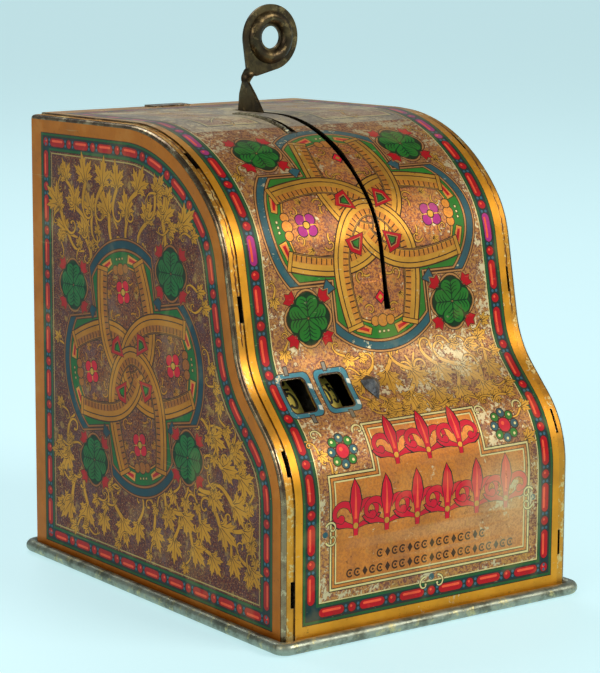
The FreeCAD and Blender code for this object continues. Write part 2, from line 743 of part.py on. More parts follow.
def frame_rivets():
    """Rivets that hold the feet of the three plates to the tray."""
    z = FOOT_Z + PLATE + 0.01
    places = [(LEFT_PLATE_X + PLATE + 4, y) for y in (-44.0, -8.0, 22.0)]
    places += [(RIGHT_PLATE_X - 4, y) for y in (-44.0, -8.0, 22.0)]
    places += [(SUPPORT_PLATE_X + PLATE + 4, y) for y in (14.0, 34.0)]
    up = Vector(0, 0, 1)
    return Part.makeCompound([domed_rivet(Vector(x, y, z), up, 1.6, 0.9) for x, y in places])


# ---- lever ----

def turned(y, z, angle):
    cos, sin = math.cos(angle), math.sin(angle)
    return SHAFT_Y + y * cos - z * sin, SHAFT_Z + y * sin + z * cos


def section(centre, wide, thick, width):
    """Rectangular section of the strip: its wide direction, its thin direction and its width."""
    a = wide * (width / 2)
    b = thick * (LEVER_THICKNESS / 2)
    corners = [centre + a + b, centre - a + b, centre - a - b, centre + a - b]
    return Part.makePolygon(corners + corners[:1])


def lever_twist():
    """The strip's quarter turn, from lying along Y below to facing the front above."""
    lean = math.atan2(RING_X - LEVER_X, RING_Z - NECK_Z)
    stations = 7
    wires = []
    for step in range(stations):
        part = step / (stations - 1)
        turn = part * math.pi / 2
        tip = part * lean
        along = Vector(math.sin(tip), 0, math.cos(tip))
        side = Vector(math.cos(tip), 0, -math.sin(tip))
        wide = Vector(0, -1, 0) * math.cos(turn) + side * math.sin(turn)
        thick = along.cross(wide)
        centre = Vector(LEVER_X, NECK_Y, NECK_Z) + along * (TWIST_LENGTH * part)
        wires.append(section(centre, wide, thick, NECK_WIDTH + 1.2 * part * part))
    return Part.makeLoft(wires, True, False)


def lever_ring():
    """Teardrop plate with a domed ring round its finger hole, facing the front."""
    lean = math.atan2(RING_X - LEVER_X, RING_Z - NECK_Z)
    y = NECK_Y
    top = Vector(LEVER_X, y, NECK_Z) + Vector(math.sin(lean), 0, math.cos(lean)) * (TWIST_LENGTH - 0.4)
    centre = Vector(RING_X, y, RING_Z)
    reach = (centre - top).Length
    side = Vector(math.cos(lean), 0, -math.sin(lean))
    along = (centre - top).normalize()
    half = (NECK_WIDTH + 1.2) / 2
    tangent_angle = math.acos(max(-1.0, min(1.0, (RING_RADIUS - half) / reach)))
    edge = {}
    for sign in (-1, 1):
        to_edge = side * (sign * math.sin(tangent_angle)) - along * math.cos(tangent_angle)
        edge[sign] = centre + to_edge * RING_RADIUS
    low = {sign: top + side * (sign * half) for sign in (-1, 1)}
    shift = Vector(0, LEVER_THICKNESS / 2, 0)
    corners = [p - shift for p in (low[-1], low[1], edge[1], edge[-1])]
    neck = Part.Face(Part.makePolygon(corners + corners[:1])).extrude(shift * 2)
    disc = Part.makeCylinder(RING_RADIUS, LEVER_THICKNESS, centre - shift, Vector(0, 1, 0))
    crown = Part.makeTorus(RING_CROWN_RADIUS, RING_CROWN_SECTION, centre, Vector(0, 1, 0))
    hole = Part.makeCylinder(RING_HOLE_RADIUS, 20, centre - Vector(0, 10, 0), Vector(0, 1, 0))
    return joined([neck, disc, crown]).cut(hole)


def lever_arm():
    outline = (
        (18.0, 70.0), (21.2, 151.0), (25.6, 156.4), (NECK_Y - NECK_WIDTH / 2, NECK_Z),
        (NECK_Y + NECK_WIDTH / 2, NECK_Z), (34.4, 156.4), (35.0, 151.0), (30.0, 70.0),
    )
    half = LEVER_THICKNESS / 2
    strip = side_plate(outline, LEVER_X - half, LEVER_X + half)
    eye = rod(LEVER_X - half, LEVER_X + half, SHAFT_Y, SHAFT_Z, LEVER_EYE_RADIUS)
    bore = rod(LEVER_X - 3, LEVER_X + 3, SHAFT_Y, SHAFT_Z, SHAFT_RADIUS + 0.01)
    return joined([strip, eye, lever_twist(), lever_ring()]).cut(bore)


def lever_shaft():
    return rod(SHAFT_ENDS[0], SHAFT_ENDS[1], SHAFT_Y, SHAFT_Z, SHAFT_RADIUS)


def lever_collars():
    """Collars pinned to the shaft on both sides of the lever and outside the plates."""
    half = LEVER_THICKNESS / 2
    spans = (
        (LEVER_X - half - 3.5, LEVER_X - half - 0.02),
        (LEVER_X + half + 0.02, LEVER_X + half + 3.5),
        (SHAFT_ENDS[0] + 0.2, LEFT_PLATE_X - 0.3),
        (SUPPORT_PLATE_X + PLATE + 0.3, SHAFT_ENDS[1] - 0.2),
    )
    inner = SHAFT_RADIUS + 0.01
    return Part.makeCompound([ring(x0, x1, SHAFT_Y, SHAFT_Z, 5.5, inner) for x0, x1 in spans])


def coil(x0, x1, radius, wire, turns):
    """Close-wound helical spring round an X axis through the origin."""
    helix = Part.makeHelix((x1 - x0) / turns, x1 - x0, radius)
    profile = Part.Wire(Part.makeCircle(wire / 2, Vector(radius, 0, 0), Vector(0, 1, 0)))
    spring = Part.Wire(helix).makePipeShell([profile], True, True)
    spring.rotate(Vector(0, 0, 0), Vector(0, 1, 0), 90)
    spring.translate(Vector(x0, 0, 0))
    return spring


def lever_return_spring():
    spring = coil(-11.4, -2.4, 4.3, 0.8, 8)
    spring.translate(Vector(0, SHAFT_Y, SHAFT_Z))
    return spring


def feed_pin_place():
    return (SHAFT_Y + FEED_ARM_RADIUS * math.cos(FEED_ARM_ANGLE),
            SHAFT_Z + FEED_ARM_RADIUS * math.sin(FEED_ARM_ANGLE))


FEED_ARM_X = DOLLARS_RATCHET_X + 3.0
FEED_PAWL_X = DOLLARS_RATCHET_X + 1.5


def strap(y0, z0, y1, z1, r0, r1, x0, x1):
    """Flat link with round ends."""
    length = math.hypot(y1 - y0, z1 - z0)
    sy, sz = -(z1 - z0) / length, (y1 - y0) / length
    outline = ((y0 + sy * r0, z0 + sz * r0), (y1 + sy * r1, z1 + sz * r1),
               (y1 - sy * r1, z1 - sz * r1), (y0 - sy * r0, z0 - sz * r0))
    return joined([side_plate(outline, x0, x1), rod(x0, x1, y0, z0, r0), rod(x0, x1, y1, z1, r1)])


def feed_arm():
    y, z = feed_pin_place()
    arm = strap(SHAFT_Y, SHAFT_Z, y, z, 6.0, 3.0, FEED_ARM_X, FEED_ARM_X + 1.0)
    boss = rod(FEED_ARM_X - 1.5, FEED_ARM_X + 4.0, SHAFT_Y, SHAFT_Z, 5.5)
    arm = joined([arm, boss])
    arm = arm.cut(rod(FEED_ARM_X - 5, FEED_ARM_X + 5, SHAFT_Y, SHAFT_Z, SHAFT_RADIUS + 0.01))
    return arm.cut(rod(FEED_ARM_X - 2, FEED_ARM_X + 2, y, z, PAWL_PIN_RADIUS + 0.01))


def feed_pawl_pin():
    y, z = feed_pin_place()
    head = rod(FEED_PAWL_X - 1.0, FEED_PAWL_X - 0.2, y, z, 2.2)
    return joined([rod(FEED_PAWL_X - 1.0, FEED_ARM_X + 1.0, y, z, PAWL_PIN_RADIUS), head])


def feed_pawl():
    """Long link whose wide nose hangs just over both ratchet wheels."""
    y0, z0 = feed_pin_place()
    y1 = DRUM_Y + FEED_ARM_RADIUS * math.cos(FEED_ARM_ANGLE)
    z1 = DRUM_Z + FEED_ARM_RADIUS * math.sin(FEED_ARM_ANGLE)
    link = strap(y0, z0, y1, z1, 2.8, 1.4, FEED_PAWL_X, FEED_PAWL_X + 1.0)
    ny, nz = -math.cos(FEED_NOSE_ANGLE), -math.sin(FEED_NOSE_ANGLE)
    tip = (y1 + ny * FEED_NOSE_LENGTH, z1 + nz * FEED_NOSE_LENGTH)
    nose_outline = ((y1 - nz * 1.3, z1 + ny * 1.3), (y1 + nz * 1.3, z1 - ny * 1.3), tip)
    nose = side_plate(nose_outline, DOLLARS_RATCHET_X, CENTS_RATCHET_X + RATCHET_THICKNESS)
    bore = rod(FEED_PAWL_X - 1, FEED_PAWL_X + 2, y0, z0, PAWL_PIN_RADIUS + PIN_CLEARANCE)
    return joined([link, nose]).cut(bore)


# ---- holding pawl ----

def wheel_point(radial, tangential):
    """Point given along and across the radius on which the holding pawl stops a tooth."""
    angle = math.radians(HOLD_ANGLE)
    ry, rz = math.cos(angle), math.sin(angle)
    return DRUM_Y + radial * ry - tangential * rz, DRUM_Z + radial * rz + tangential * ry


def pawl_pivot():
    return wheel_point(HOLD_OFFSET, -HOLD_REACH)


def holding_pawl():
    """Pawl drawn lifted just clear of the teeth; turned back by HOLD_LIFT it lies in a tooth gap."""
    eye = 2.6
    root = RATCHET_ROOT_RADIUS
    outline = [
        wheel_point(root + 0.2, -PAWL_GAP), wheel_point(root + 6.0, -PAWL_GAP),
        wheel_point(HOLD_OFFSET + eye, -HOLD_REACH), wheel_point(HOLD_OFFSET - eye, -HOLD_REACH),
        wheel_point(root + 3.3, -3.1), wheel_point(root + 1.0, -1.4),
    ]
    x0 = CENTS_RATCHET_X
    y, z = pawl_pivot()
    body = joined([side_plate(outline, x0, x0 + RATCHET_THICKNESS), rod(x0 - 0.8, x0 + 1.6, y, z, eye)])
    pawl = body.cut(rod(x0 - 2, x0 + 3, y, z, PAWL_PIN_RADIUS + PIN_CLEARANCE))
    pawl.rotate(Vector(x0, y, z), Vector(1, 0, 0), -HOLD_LIFT)
    return pawl


def holding_pawl_rod():
    y, z = pawl_pivot()
    x0, x1 = LEFT_PLATE_X, RIGHT_PLATE_X + PLATE
    heads = [rod(x0 - 0.8, x0 - 0.02, y, z, 2.2), rod(x1 + 0.02, x1 + 0.8, y, z, 2.2)]
    return joined([rod(x0 - 0.8, x1 + 0.8, y, z, PAWL_PIN_RADIUS)] + heads)


def holding_pawl_spring():
    x0 = CENTS_RATCHET_X + 2.2
    spring = coil(x0, x0 + 4.0, 1.8, 0.5, 6)
    y, z = pawl_pivot()
    spring.translate(Vector(0, y, z))
    return spring


# ---- coin path ----

def chute_front():
    return COIN_SLIT_FRONT_Y - 0.8


def chute_rear():
    return COIN_SLIT_FRONT_Y + COIN_SLIT_LENGTH + 0.8


def coin_chute():
    """Flat tube that leads a coin straight down from the slit."""
    inner = (COIN_SLIT_X - CHUTE_HALF_GAP, COIN_SLIT_X + CHUTE_HALF_GAP)
    y0, y1 = chute_front(), chute_rear()
    outer = box(inner[0] - SHEET, inner[1] + SHEET, y0 - SHEET, y1 + SHEET, CHUTE_BOTTOM_Z, CHUTE_TOP_Z)
    hollow = box(inner[0], inner[1], y0, y1, CHUTE_BOTTOM_Z - 1, CHUTE_TOP_Z + 1)
    ears = []
    for x0 in (inner[0] - SHEET, inner[1]):
        outline = ((GATE_PIN_Y - 3.0, CHUTE_BOTTOM_Z + 4), (GATE_PIN_Y + 2.6, CHUTE_BOTTOM_Z + 4),
                   (GATE_PIN_Y + 2.6, GATE_PIN_Z - 2.6), (GATE_PIN_Y - 3.0, GATE_PIN_Z - 2.6))
        ears.append(side_plate(outline, x0, x0 + SHEET))
    tube = joined([outer.cut(hollow)] + ears)
    return tube.cut(rod(inner[0] - 2, inner[1] + 2, GATE_PIN_Y, GATE_PIN_Z, GATE_PIN_RADIUS + 0.01))


def chute_bracket():
    """Strap from the chute across to the top of the right mechanism plate."""
    x0 = RIGHT_PLATE_X + PLATE
    x1 = COIN_SLIT_X - CHUTE_HALF_GAP - SHEET - 0.02
    upright = box(x0 + 0.02, x0 + 0.82, 20.0, 28.0, SHAFT_Z + 5.5, 112.0)
    web = box(x0 + 0.02, x1, 8.0, 28.0, 111.2, 112.0)
    pad = box(x1 - 0.8, x1, 8.0, 17.0, 104.0, 112.0)
    return joined([upright, web, pad])


def gate_pin():
    x0 = COIN_SLIT_X - CHUTE_HALF_GAP - SHEET
    x1 = COIN_SLIT_X + CHUTE_HALF_GAP + SHEET
    heads = [
        rod(x0 - 0.6, x0 - 0.02, GATE_PIN_Y, GATE_PIN_Z, 1.7),
        rod(x1 + 0.02, x1 + 0.6, GATE_PIN_Y, GATE_PIN_Z, 1.7),
    ]
    return joined([rod(x0 - 0.6, x1 + 0.6, GATE_PIN_Y, GATE_PIN_Z, GATE_PIN_RADIUS)] + heads)


def coin_gate():
    """Flap that holds a coin at the foot of the chute until the lever is pulled."""
    half = CHUTE_HALF_GAP - 0.3
    x0, x1 = COIN_SLIT_X - half, COIN_SLIT_X + half
    flap = box(x0, x1, chute_front() + 0.4, GATE_PIN_Y, GATE_PIN_Z - 0.4, GATE_PIN_Z + 0.4)
    barrel = rod(x0, x1, GATE_PIN_Y, GATE_PIN_Z, 1.9)
    bore = rod(x0 - 1, x1 + 1, GATE_PIN_Y, GATE_PIN_Z, GATE_PIN_RADIUS + PIN_CLEARANCE)
    return joined([flap, barrel]).cut(bore)


def coin_ramp():
    """Sloped sheet that turns falling coins towards the back, held between the right and support plates."""
    x0 = RIGHT_PLATE_X + PLATE + 1.2
    x1 = SUPPORT_PLATE_X - 0.1
    outline = ((-16.0, 54.0), (34.0, 24.0), (33.7, 23.5), (-16.3, 53.5))
    sheet = side_plate(outline, x0, x1)
    ear = side_plate(((-14.0, 46.0), (-16.3, 53.5), (-8.0, 49.2), (-8.0, 44.0)), x0 - 1.16, x0 + 0.3)
    hook = side_plate(((10.0, 30.0), (10.0, 38.2), (20.0, 32.2), (20.0, 26.0)), x0 - 1.16, x0 + 0.3)
    return joined([sheet, ear, hook])


NODES = (
    base_plate, left_side_panel, right_side_panel, front_top_sheet, back_panel, coin_slot_lip, front_hood,
    cash_door, door_pull, hinge_fixed_leaf, hinge_door_leaf, door_hinge_pin, door_keeper,
    lock_bolt, lock_bolt_guides,
    left_mechanism_plate, right_mechanism_plate, lever_support_plate, frame_spacers, frame_rivets,
    drum_axle, axle_collars, dollars_ratchet_wheel, cents_ratchet_wheel,
    lever_arm, lever_shaft, lever_collars, lever_return_spring, feed_arm, feed_pawl_pin, feed_pawl,
    holding_pawl, holding_pawl_rod, holding_pawl_spring,
    coin_chute, chute_bracket, gate_pin, coin_gate, coin_ramp,
)


def main():
    os.makedirs("parts", exist_ok=True)
    shapes = {maker.__name__: maker() for maker in NODES}
    shapes["dollars_drum"] = number_drum(DOLLARS_X, 1)
    shapes["cents_drum"] = number_drum(CENTS_X, -1)
    shapes["dollars_number_band"] = number_band(DOLLARS_X)
    shapes["cents_number_band"] = number_band(CENTS_X)
    for name, shape in sorted(shapes.items()):
        solids = len(shape.Solids)
        print(f"{name:24s} solids {solids} valid {shape.isValid()} volume {shape.Volume:.1f}")
        shape.exportStep(os.path.join("parts", name + ".step"))


main()
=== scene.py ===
"""Tin money box: litho-printed tinplate, pull lever with a ring, number drums behind windows."""

import math
import random

import bpy
from mathutils import Matrix, Vector
from mathutils.geometry import delaunay_2d_cdt
import numpy as np


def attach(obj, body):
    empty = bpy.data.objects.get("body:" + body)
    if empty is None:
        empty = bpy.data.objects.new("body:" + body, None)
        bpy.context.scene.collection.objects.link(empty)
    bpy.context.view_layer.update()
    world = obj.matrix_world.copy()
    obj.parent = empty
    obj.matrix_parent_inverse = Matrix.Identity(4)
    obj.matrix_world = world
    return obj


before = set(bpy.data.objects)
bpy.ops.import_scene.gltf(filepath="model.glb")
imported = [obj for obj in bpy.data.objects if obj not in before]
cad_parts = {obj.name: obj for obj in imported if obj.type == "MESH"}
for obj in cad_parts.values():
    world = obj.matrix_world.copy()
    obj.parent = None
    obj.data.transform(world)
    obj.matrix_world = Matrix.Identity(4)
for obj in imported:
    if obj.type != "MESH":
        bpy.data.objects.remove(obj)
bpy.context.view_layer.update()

# ---- sizes, millimetres ----
MM = 0.001
HALF_WIDTH = 56.2
HALF_DEPTH = 72.0
REAR_TOP_Z = 150.0
FOOT_Z = 0.9
SEAM_DROP = 0.55
FOLD_RADIUS = 1.2
SEAM_X = 52.3
ROOF_SLOPE = math.radians(1.1)
CROWN = (62.7, math.radians(51.6))
BROW = (32.8, math.radians(28.4))
FACE_LENGTH = 26.1
WAIST = (-29.1, math.radians(-32.9))
APRON_LENGTH = 11.5
SHOULDER_RADIUS = 32.9
FILM_LIFT = 0.075
FILM_THICKNESS = 0.03
GRID_STEP = 2.5
PROFILE_STEP = 2.0

TAB_SLOT_PLACES = (17.3, 57.3, 107.5, 160.0)
TAB_SLOT_LENGTH = 8.2
TAB_SLOT_EDGE = 53.55
LEVER_X = 2.3
SLOT_TOP_HALF = 1.3
SLOT_FACE_HALF = 0.85
SLOT_END_HALF = 1.2
SLOT_REAR_Y = 38.0
WINDOW_HALF = (4.4, 5.95)
WINDOW_CORNER = 1.6
WINDOW_PLACE = 78.7
WINDOWS_X = (-38.9, -24.5)
LIP_X = (-10.0, -5.7)
LIP_Y = (-9.2, 21.8)
REAR_TAB = (-11.8, 3.8, 65.7)
DRUM_AXIS = (-29.206, 48.185)
DRUM_RADIUS = 30.0
DRUM_WIDTH = 9.0
DRUM_STARTS = (-43.6, -29.0)
DRUM_STEPS = 20
DOOR_HALF = 36.5
DOOR_LOW, DOOR_HIGH = 11.5, 104.5
DOOR_FACE_Y = 72.72


# ---- the curved front, as distances up along the sheet ----

def outward(heading):
    return -math.sin(heading), math.cos(heading)


def forward(heading):
    return -math.cos(heading), -math.sin(heading)


def profile_stretches():
    """The outer profile as (y, z, heading, signed radius or None, length), roof to foot."""
    plan = (CROWN, BROW, (None, FACE_LENGTH), WAIST, (None, APRON_LENGTH), (SHOULDER_RADIUS, None))
    y, z, heading = 0.0, 0.0, -ROOF_SLOPE
    laid = []
    for radius, amount in plan:
        if radius is None:
            laid.append((y, z, heading, None, amount))
            dy, dz = forward(heading)
            y, z = y + amount * dy, z + amount * dz
            continue
        turn = math.pi / 2 - heading if amount is None else amount
        laid.append((y, z, heading, radius, radius * turn))
        ny, nz = outward(heading)
        cy, cz = y - ny * radius, z - nz * radius
        heading += turn
        ny, nz = outward(heading)
        y, z = cy + ny * radius, cz + nz * radius
    shift_y = -HALF_DEPTH - y
    roof = HALF_DEPTH - (laid[0][0] + shift_y)
    shift_z = REAR_TOP_Z + math.tan(ROOF_SLOPE) * roof
    moved = [(py + shift_y, pz + shift_z, h, r, n) for py, pz, h, r, n in laid]
    moved.append((-HALF_DEPTH, z + shift_z, math.pi / 2, None, z + shift_z))
    roof_length = roof / math.cos(ROOF_SLOPE)
    return [(HALF_DEPTH, REAR_TOP_Z, -ROOF_SLOPE, None, roof_length)] + moved


STRETCHES = profile_stretches()
SHEET_LENGTH = sum(stretch[4] for stretch in STRETCHES)


def on_profile(place):
    """Point and heading on the outer profile, at this distance up along the sheet from z = 0."""
    climbed = 0.0
    for y, z, heading, radius, length in reversed(STRETCHES):
        if place <= climbed + length + 1e-6:
            travel = climbed + length - place
            if radius is None:
                dy, dz = forward(heading)
                return y + travel * dy, z + travel * dz, heading
            here = heading + travel / radius
            ny, nz = outward(heading)
            my, mz = outward(here)
            return y + (my - ny) * radius, z + (mz - nz) * radius, here
        climbed += length
    raise ValueError("place is beyond the sheet")


def place_where(test):
    """The lowest place on the sheet where test(y, z) becomes true."""
    low, high = 0.0, SHEET_LENGTH
    for _ in range(40):
        middle = (low + high) / 2
        y, z, _heading = on_profile(middle)
        if test(y, z):
            high = middle
        else:
            low = middle
    return high


def place_at_y(target):
    return place_where(lambda y, z: y >= target and z > 120)


def place_at_z(target):
    return place_where(lambda y, z: z >= target)


# ---- flat drawing ----

def turned(point, angle):
    c, s = math.cos(angle), math.sin(angle)
    return point[0] * c - point[1] * s, point[0] * s + point[1] * c


def arc(u, v, radius, start, end, count=16):
    """Points on an arc; angles in degrees."""
    points = []
    for k in range(count + 1):
        a = math.radians(start + (end - start) * k / count)
        points.append((u + radius * math.cos(a), v + radius * math.sin(a)))
    return points


def circle(u, v, radius, sides=18):
    return arc(u, v, radius, 0, 360, sides)[:-1]


def box(u0, v0, u1, v1):
    return [(u0, v0), (u1, v0), (u1, v1), (u0, v1)]


def rounded_box(u, v, half_u, half_v, corner):
    points = []
    for su, sv, start in ((1, 1, 0), (-1, 1, 90), (-1, -1, 180), (1, -1, 270)):
        centre = (u + su * (half_u - corner), v + sv * (half_v - corner))
        points += arc(centre[0], centre[1], corner, start, start + 90, 5)
    return points


def ribbon(points, width):
    """Outline of a stroke along the points; width is a number or a function of the share of the way."""
    left, right = [], []
    last = len(points) - 1
    for k, (u, v) in enumerate(points):
        au, av = points[max(k - 1, 0)]
        bu, bv = points[min(k + 1, last)]
        du, dv = bu - au, bv - av
        size = math.hypot(du, dv) or 1.0
        half = (width(k / last) if callable(width) else width) / 2
        nu, nv = -dv / size * half, du / size * half
        left.append((u + nu, v + nv))
        right.append((u - nu, v - nv))
    return left + right[::-1]


class Track:
    """A polyline that is read by the distance along it."""

    def __init__(self, points):
        self.points = points
        self.reach = [0.0]
        for a, b in zip(points, points[1:]):
            self.reach.append(self.reach[-1] + math.dist(a, b))
        self.length = self.reach[-1]

    def at(self, place):
        place = min(max(place, 0.0), self.length)
        k = 0
        while k < len(self.points) - 2 and self.reach[k + 1] < place:
            k += 1
        a, b = self.points[k], self.points[k + 1]
        share = (place - self.reach[k]) / ((self.reach[k + 1] - self.reach[k]) or 1.0)
        heading = math.atan2(b[1] - a[1], b[0] - a[0])
        return a[0] + (b[0] - a[0]) * share, a[1] + (b[1] - a[1]) * share, heading

    def between(self, start, end, count):
        return [self.at(start + (end - start) * k / count)[:2] for k in range(count + 1)]


class Pen:
    """Draws closed outlines, in paint order, from its own place and turn."""

    def __init__(self, shapes, u=0.0, v=0.0, turn=0.0):
        self.shapes, self.u, self.v, self.turn = shapes, u, v, turn

    def put(self, point):
        u, v = turned(point, self.turn)
        return self.u + u, self.v + v

    def moved(self, u, v, degrees=0.0):
        pu, pv = self.put((u, v))
        return Pen(self.shapes, pu, pv, self.turn + math.radians(degrees))

    def fill(self, outline, ink):
        self.shapes.append(([self.put(p) for p in outline], ink))

    def line(self, points, width, ink):
        self.fill(ribbon(points, width), ink)


HOLE = "hole"

# ink: (colour in sRGB, metal, stipple, wear)
INKS = {
    "amber": ((188, 104, 22), 0.6, 0.0, 0.4),
    "amber_flange": ((206, 142, 50), 0.85, 0.0, 0.8),
    "outline": ((60, 38, 24), 0.2, 0.0, 0.25),
    "line_green": ((34, 86, 46), 0.2, 0.0, 0.25),
    "band_teal": ((24, 52, 54), 0.2, 0.0, 0.25),
    "green": ((46, 116, 40), 0.2, 0.0, 0.3),
    "green_side": ((30, 94, 42), 0.2, 0.0, 0.2),
    "clover": ((36, 108, 36), 0.2, 0.0, 0.3),
    "clover_side": ((34, 98, 46), 0.2, 0.0, 0.15),
    "vein": ((12, 48, 22), 0.1, 0.0, 0.15),
    "blue": ((48, 88, 94), 0.25, 0.0, 0.6),
    "blue_side": ((30, 64, 72), 0.25, 0.0, 0.25),
    "dot_blue": ((56, 96, 112), 0.2, 0.0, 0.25),
    "red": ((176, 14, 26), 0.15, 0.0, 0.2),
    "red_side": ((170, 26, 26), 0.15, 0.0, 0.15),
    "red_glow": ((238, 84, 52), 0.15, 0.0, 0.2),
    # Magenta print for the front medallion's rosettes, also used as the painted reflection (violet sheen) on
    # the front's red beads.
    "magenta": ((164, 42, 116), 0.25, 0.0, 0.35),
    "crimson": ((200, 20, 44), 0.15, 0.0, 0.22),
    "pink": ((178, 124, 70), 0.4, 0.0, 0.4),
    "amber_front": ((216, 146, 38), 0.6, 0.0, 0.5),
    "pink_side": ((150, 88, 44), 0.35, 0.0, 0.25),
    "cream": ((214, 196, 132), 0.35, 0.0, 0.5),
    "cream_side": ((178, 146, 84), 0.4, 0.0, 0.25),
    "gold": ((198, 142, 54), 0.6, 0.0, 0.5),
    "gold_side": ((184, 112, 30), 0.55, 0.0, 0.25),
    "gold_leaf": ((206, 150, 58), 0.55, 0.0, 0.55),
    "gold_leaf_side": ((198, 132, 34), 0.5, 0.0, 0.2),
    "ladder": ((200, 126, 44), 0.5, 0.25, 0.4),
    "ladder_side": ((164, 90, 28), 0.4, 0.25, 0.2),
    "ground": ((178, 122, 64), 0.4, 0.95, 0.8),
    "ground_lobe": ((190, 118, 56), 0.4, 0.9, 0.65),
    "ground_side": ((112, 52, 32), 0.3, 1.0, 0.2),
    "ground_lobe_side": ((132, 66, 30), 0.3, 0.95, 0.2),
    "cartouche": ((202, 122, 50), 0.45, 0.3, 0.5),
    "rubbed": ((186, 172, 148), 0.55, 0.3, 0.95),
    "rubbed_warm": ((196, 160, 128), 0.5, 0.35, 0.9),
    "teal_frame": ((62, 120, 132), 0.3, 0.0, 0.6),
    "chip": ((226, 224, 206), 0.6, 0.0, 0.2),
    "orange": ((222, 110, 56), 0.25, 0.0, 0.3),
    "paper": ((240, 214, 92), 0.0, 0.0, 0.0),
    "numeral": ((34, 32, 26), 0.0, 0.0, 0.1),
    "rub_brown": ((104, 60, 30), 0.4, 0.3, 0.4),
    "bracket": ((112, 108, 96), 0.4, 0.1, 0.4),
}


def linear(colour):
    """sRGB 0..255 to linear."""
    values = []
    for c in colour:
        c /= 255
        values.append(c / 12.92 if c <= 0.04045 else ((c + 0.055) / 1.055) ** 2.4)
    return values


# ---- ornaments ----

def side_or(ink, side):
    return ink + "_side" if side and ink + "_side" in INKS else ink


def capsule(pen, track, place, length, width, ink, aside=0.0):
    """A round-ended bar bent along the track."""
    steps = 10
    points = []
    for k in range(steps + 1):
        share = (1 - math.cos(math.pi * k / steps)) / 2
        u, v, heading = track.at(place + length * (share - 0.5))
        points.append((u - aside * math.sin(heading), v + aside * math.cos(heading)))
    reach = width / length

    def wide(t):
        along = (1 - math.cos(math.pi * t)) / 2
        edge = min(along, 1 - along) / reach * 2
        return width * math.sqrt(max(0.02, 1 - (1 - min(edge, 1.0)) ** 2))

    pen.fill(ribbon(points, wide), ink)


def bead_run(pen, track, start, end, periods, red, phase=0.5):
    """Long and round beads in turn, with small dots between them."""
    step = (end - start) / periods
    for k in range(periods):
        long_place = start + (k + phase) * step
        colour = red(*track.at(long_place)[:2])
        capsule(pen, track, long_place, step * 0.64, 3.3, "outline")
        capsule(pen, track, long_place, step * 0.61, 2.7, colour)
        capsule(pen, track, long_place, step * 0.46, 0.8, "red_glow", 0.45)
        round_place = long_place + step / 2
        if round_place > end + 0.1:
            round_place -= step * periods
        u, v, heading = track.at(round_place)
        colour = red(u, v)
        pen.fill(circle(u, v, 1.75, 14), "outline")
        pen.fill(circle(u, v, 1.42, 14), colour)
        pen.fill(circle(u - 0.3, v + 0.4, 0.45, 8), "red_glow")
        for side in (-1, 1):
            du, dv, turn = track.at(round_place + side * 2.35)
            for across in (-0.75, 0.75):
                spot = (du - across * math.sin(turn), dv + across * math.cos(turn))
                pen.fill(circle(spot[0], spot[1], 0.52, 7), "dot_blue")


def acanthus(pen, size, ink, vein, edge=0.0):
    """A full cut leaf that grows along +u from its base."""
    lobes = ((-94, 0.6), (-48, 0.84), (0, 1.0), (48, 0.84), (94, 0.6))
    teeth = ((-21, 0.48), (-16, 0.78), (-9, 0.7), (0, 1.0), (9, 0.7), (16, 0.78), (21, 0.48))
    outline = [(-0.06 * size, 0.0)]
    for lean, length in lobes:
        for swing, reach in teeth:
            a = math.radians(lean + swing)
            r = size * length * reach + edge
            outline.append((r * math.cos(a) + 0.22 * size, r * math.sin(a)))
    pen.fill(outline, ink)
    if edge:
        return
    for lean, length in lobes:
        a = math.radians(lean)
        tip = (size * (0.22 + 0.78 * length * math.cos(a)), 0.78 * size * length * math.sin(a))
        middle = (tip[0] * 0.5 + 0.06 * size, tip[1] * 0.42)
        start = (tip[0] * 0.12, tip[1] * 0.12)
        pen.line([start, middle, tip], lambda t: 0.3 * (1.1 - t), vein)


def scroll(pen, size, bend, ink, edge="outline", thick=1.0):
    """A tapering spiral stem that ends in a small round knob, with a dark edge."""
    points = []
    steps = 18
    for k in range(steps + 1):
        t = k / steps
        a = 0.2 + 4.6 * t
        r = size * (1 - 0.8 * t)
        points.append((size * 0.2 + r * math.sin(a), bend * (size - r * math.cos(a))))
    u, v = points[-1]
    for grow, colour in ((0.42, edge), (0.0, ink)):
        pen.line(points, lambda t: thick * size * (0.26 - 0.14 * t) + grow, colour)
        pen.fill(circle(u, v, thick * size * 0.16 + grow / 2, 9), colour)


def stem(pen, length, bow, width, ink):
    points = []
    for k in range(9):
        t = k / 8
        points.append((-length * t, bow * math.sin(math.pi * t * 0.9)))
    pen.line(points, lambda t: width * (1.0 - 0.6 * t), ink)


def spray(pen, size, mirror, side):
    """A leaf on its stem with one curl."""
    gold = side_or("gold_leaf", side)
    stem(pen, size * 1.6, mirror * size * 0.4, size * 0.2 + 0.4, "outline")
    stem(pen, size * 1.6, mirror * size * 0.4, size * 0.2, gold)
    scroll(pen.moved(-size * 0.75, mirror * size * 0.3, 150 * mirror), size * 0.4, mirror, gold)
    acanthus(pen, size, "outline", "outline", 0.3)
    acanthus(pen, size, gold, "outline")


def leaf_outline(reach):
    """Heart leaf: two round cheeks that meet in a notch."""
    cheek = reach * 0.31
    points = [(0.2, 0.0)]
    points += arc(reach * 0.62, -cheek * 0.86, cheek, -128, 66, 9)
    points.append((reach * 0.84, 0.0))
    points += [(u, -v) for u, v in reversed(points[1:-1])]
    return points


CLOVER_REACH = 7.5


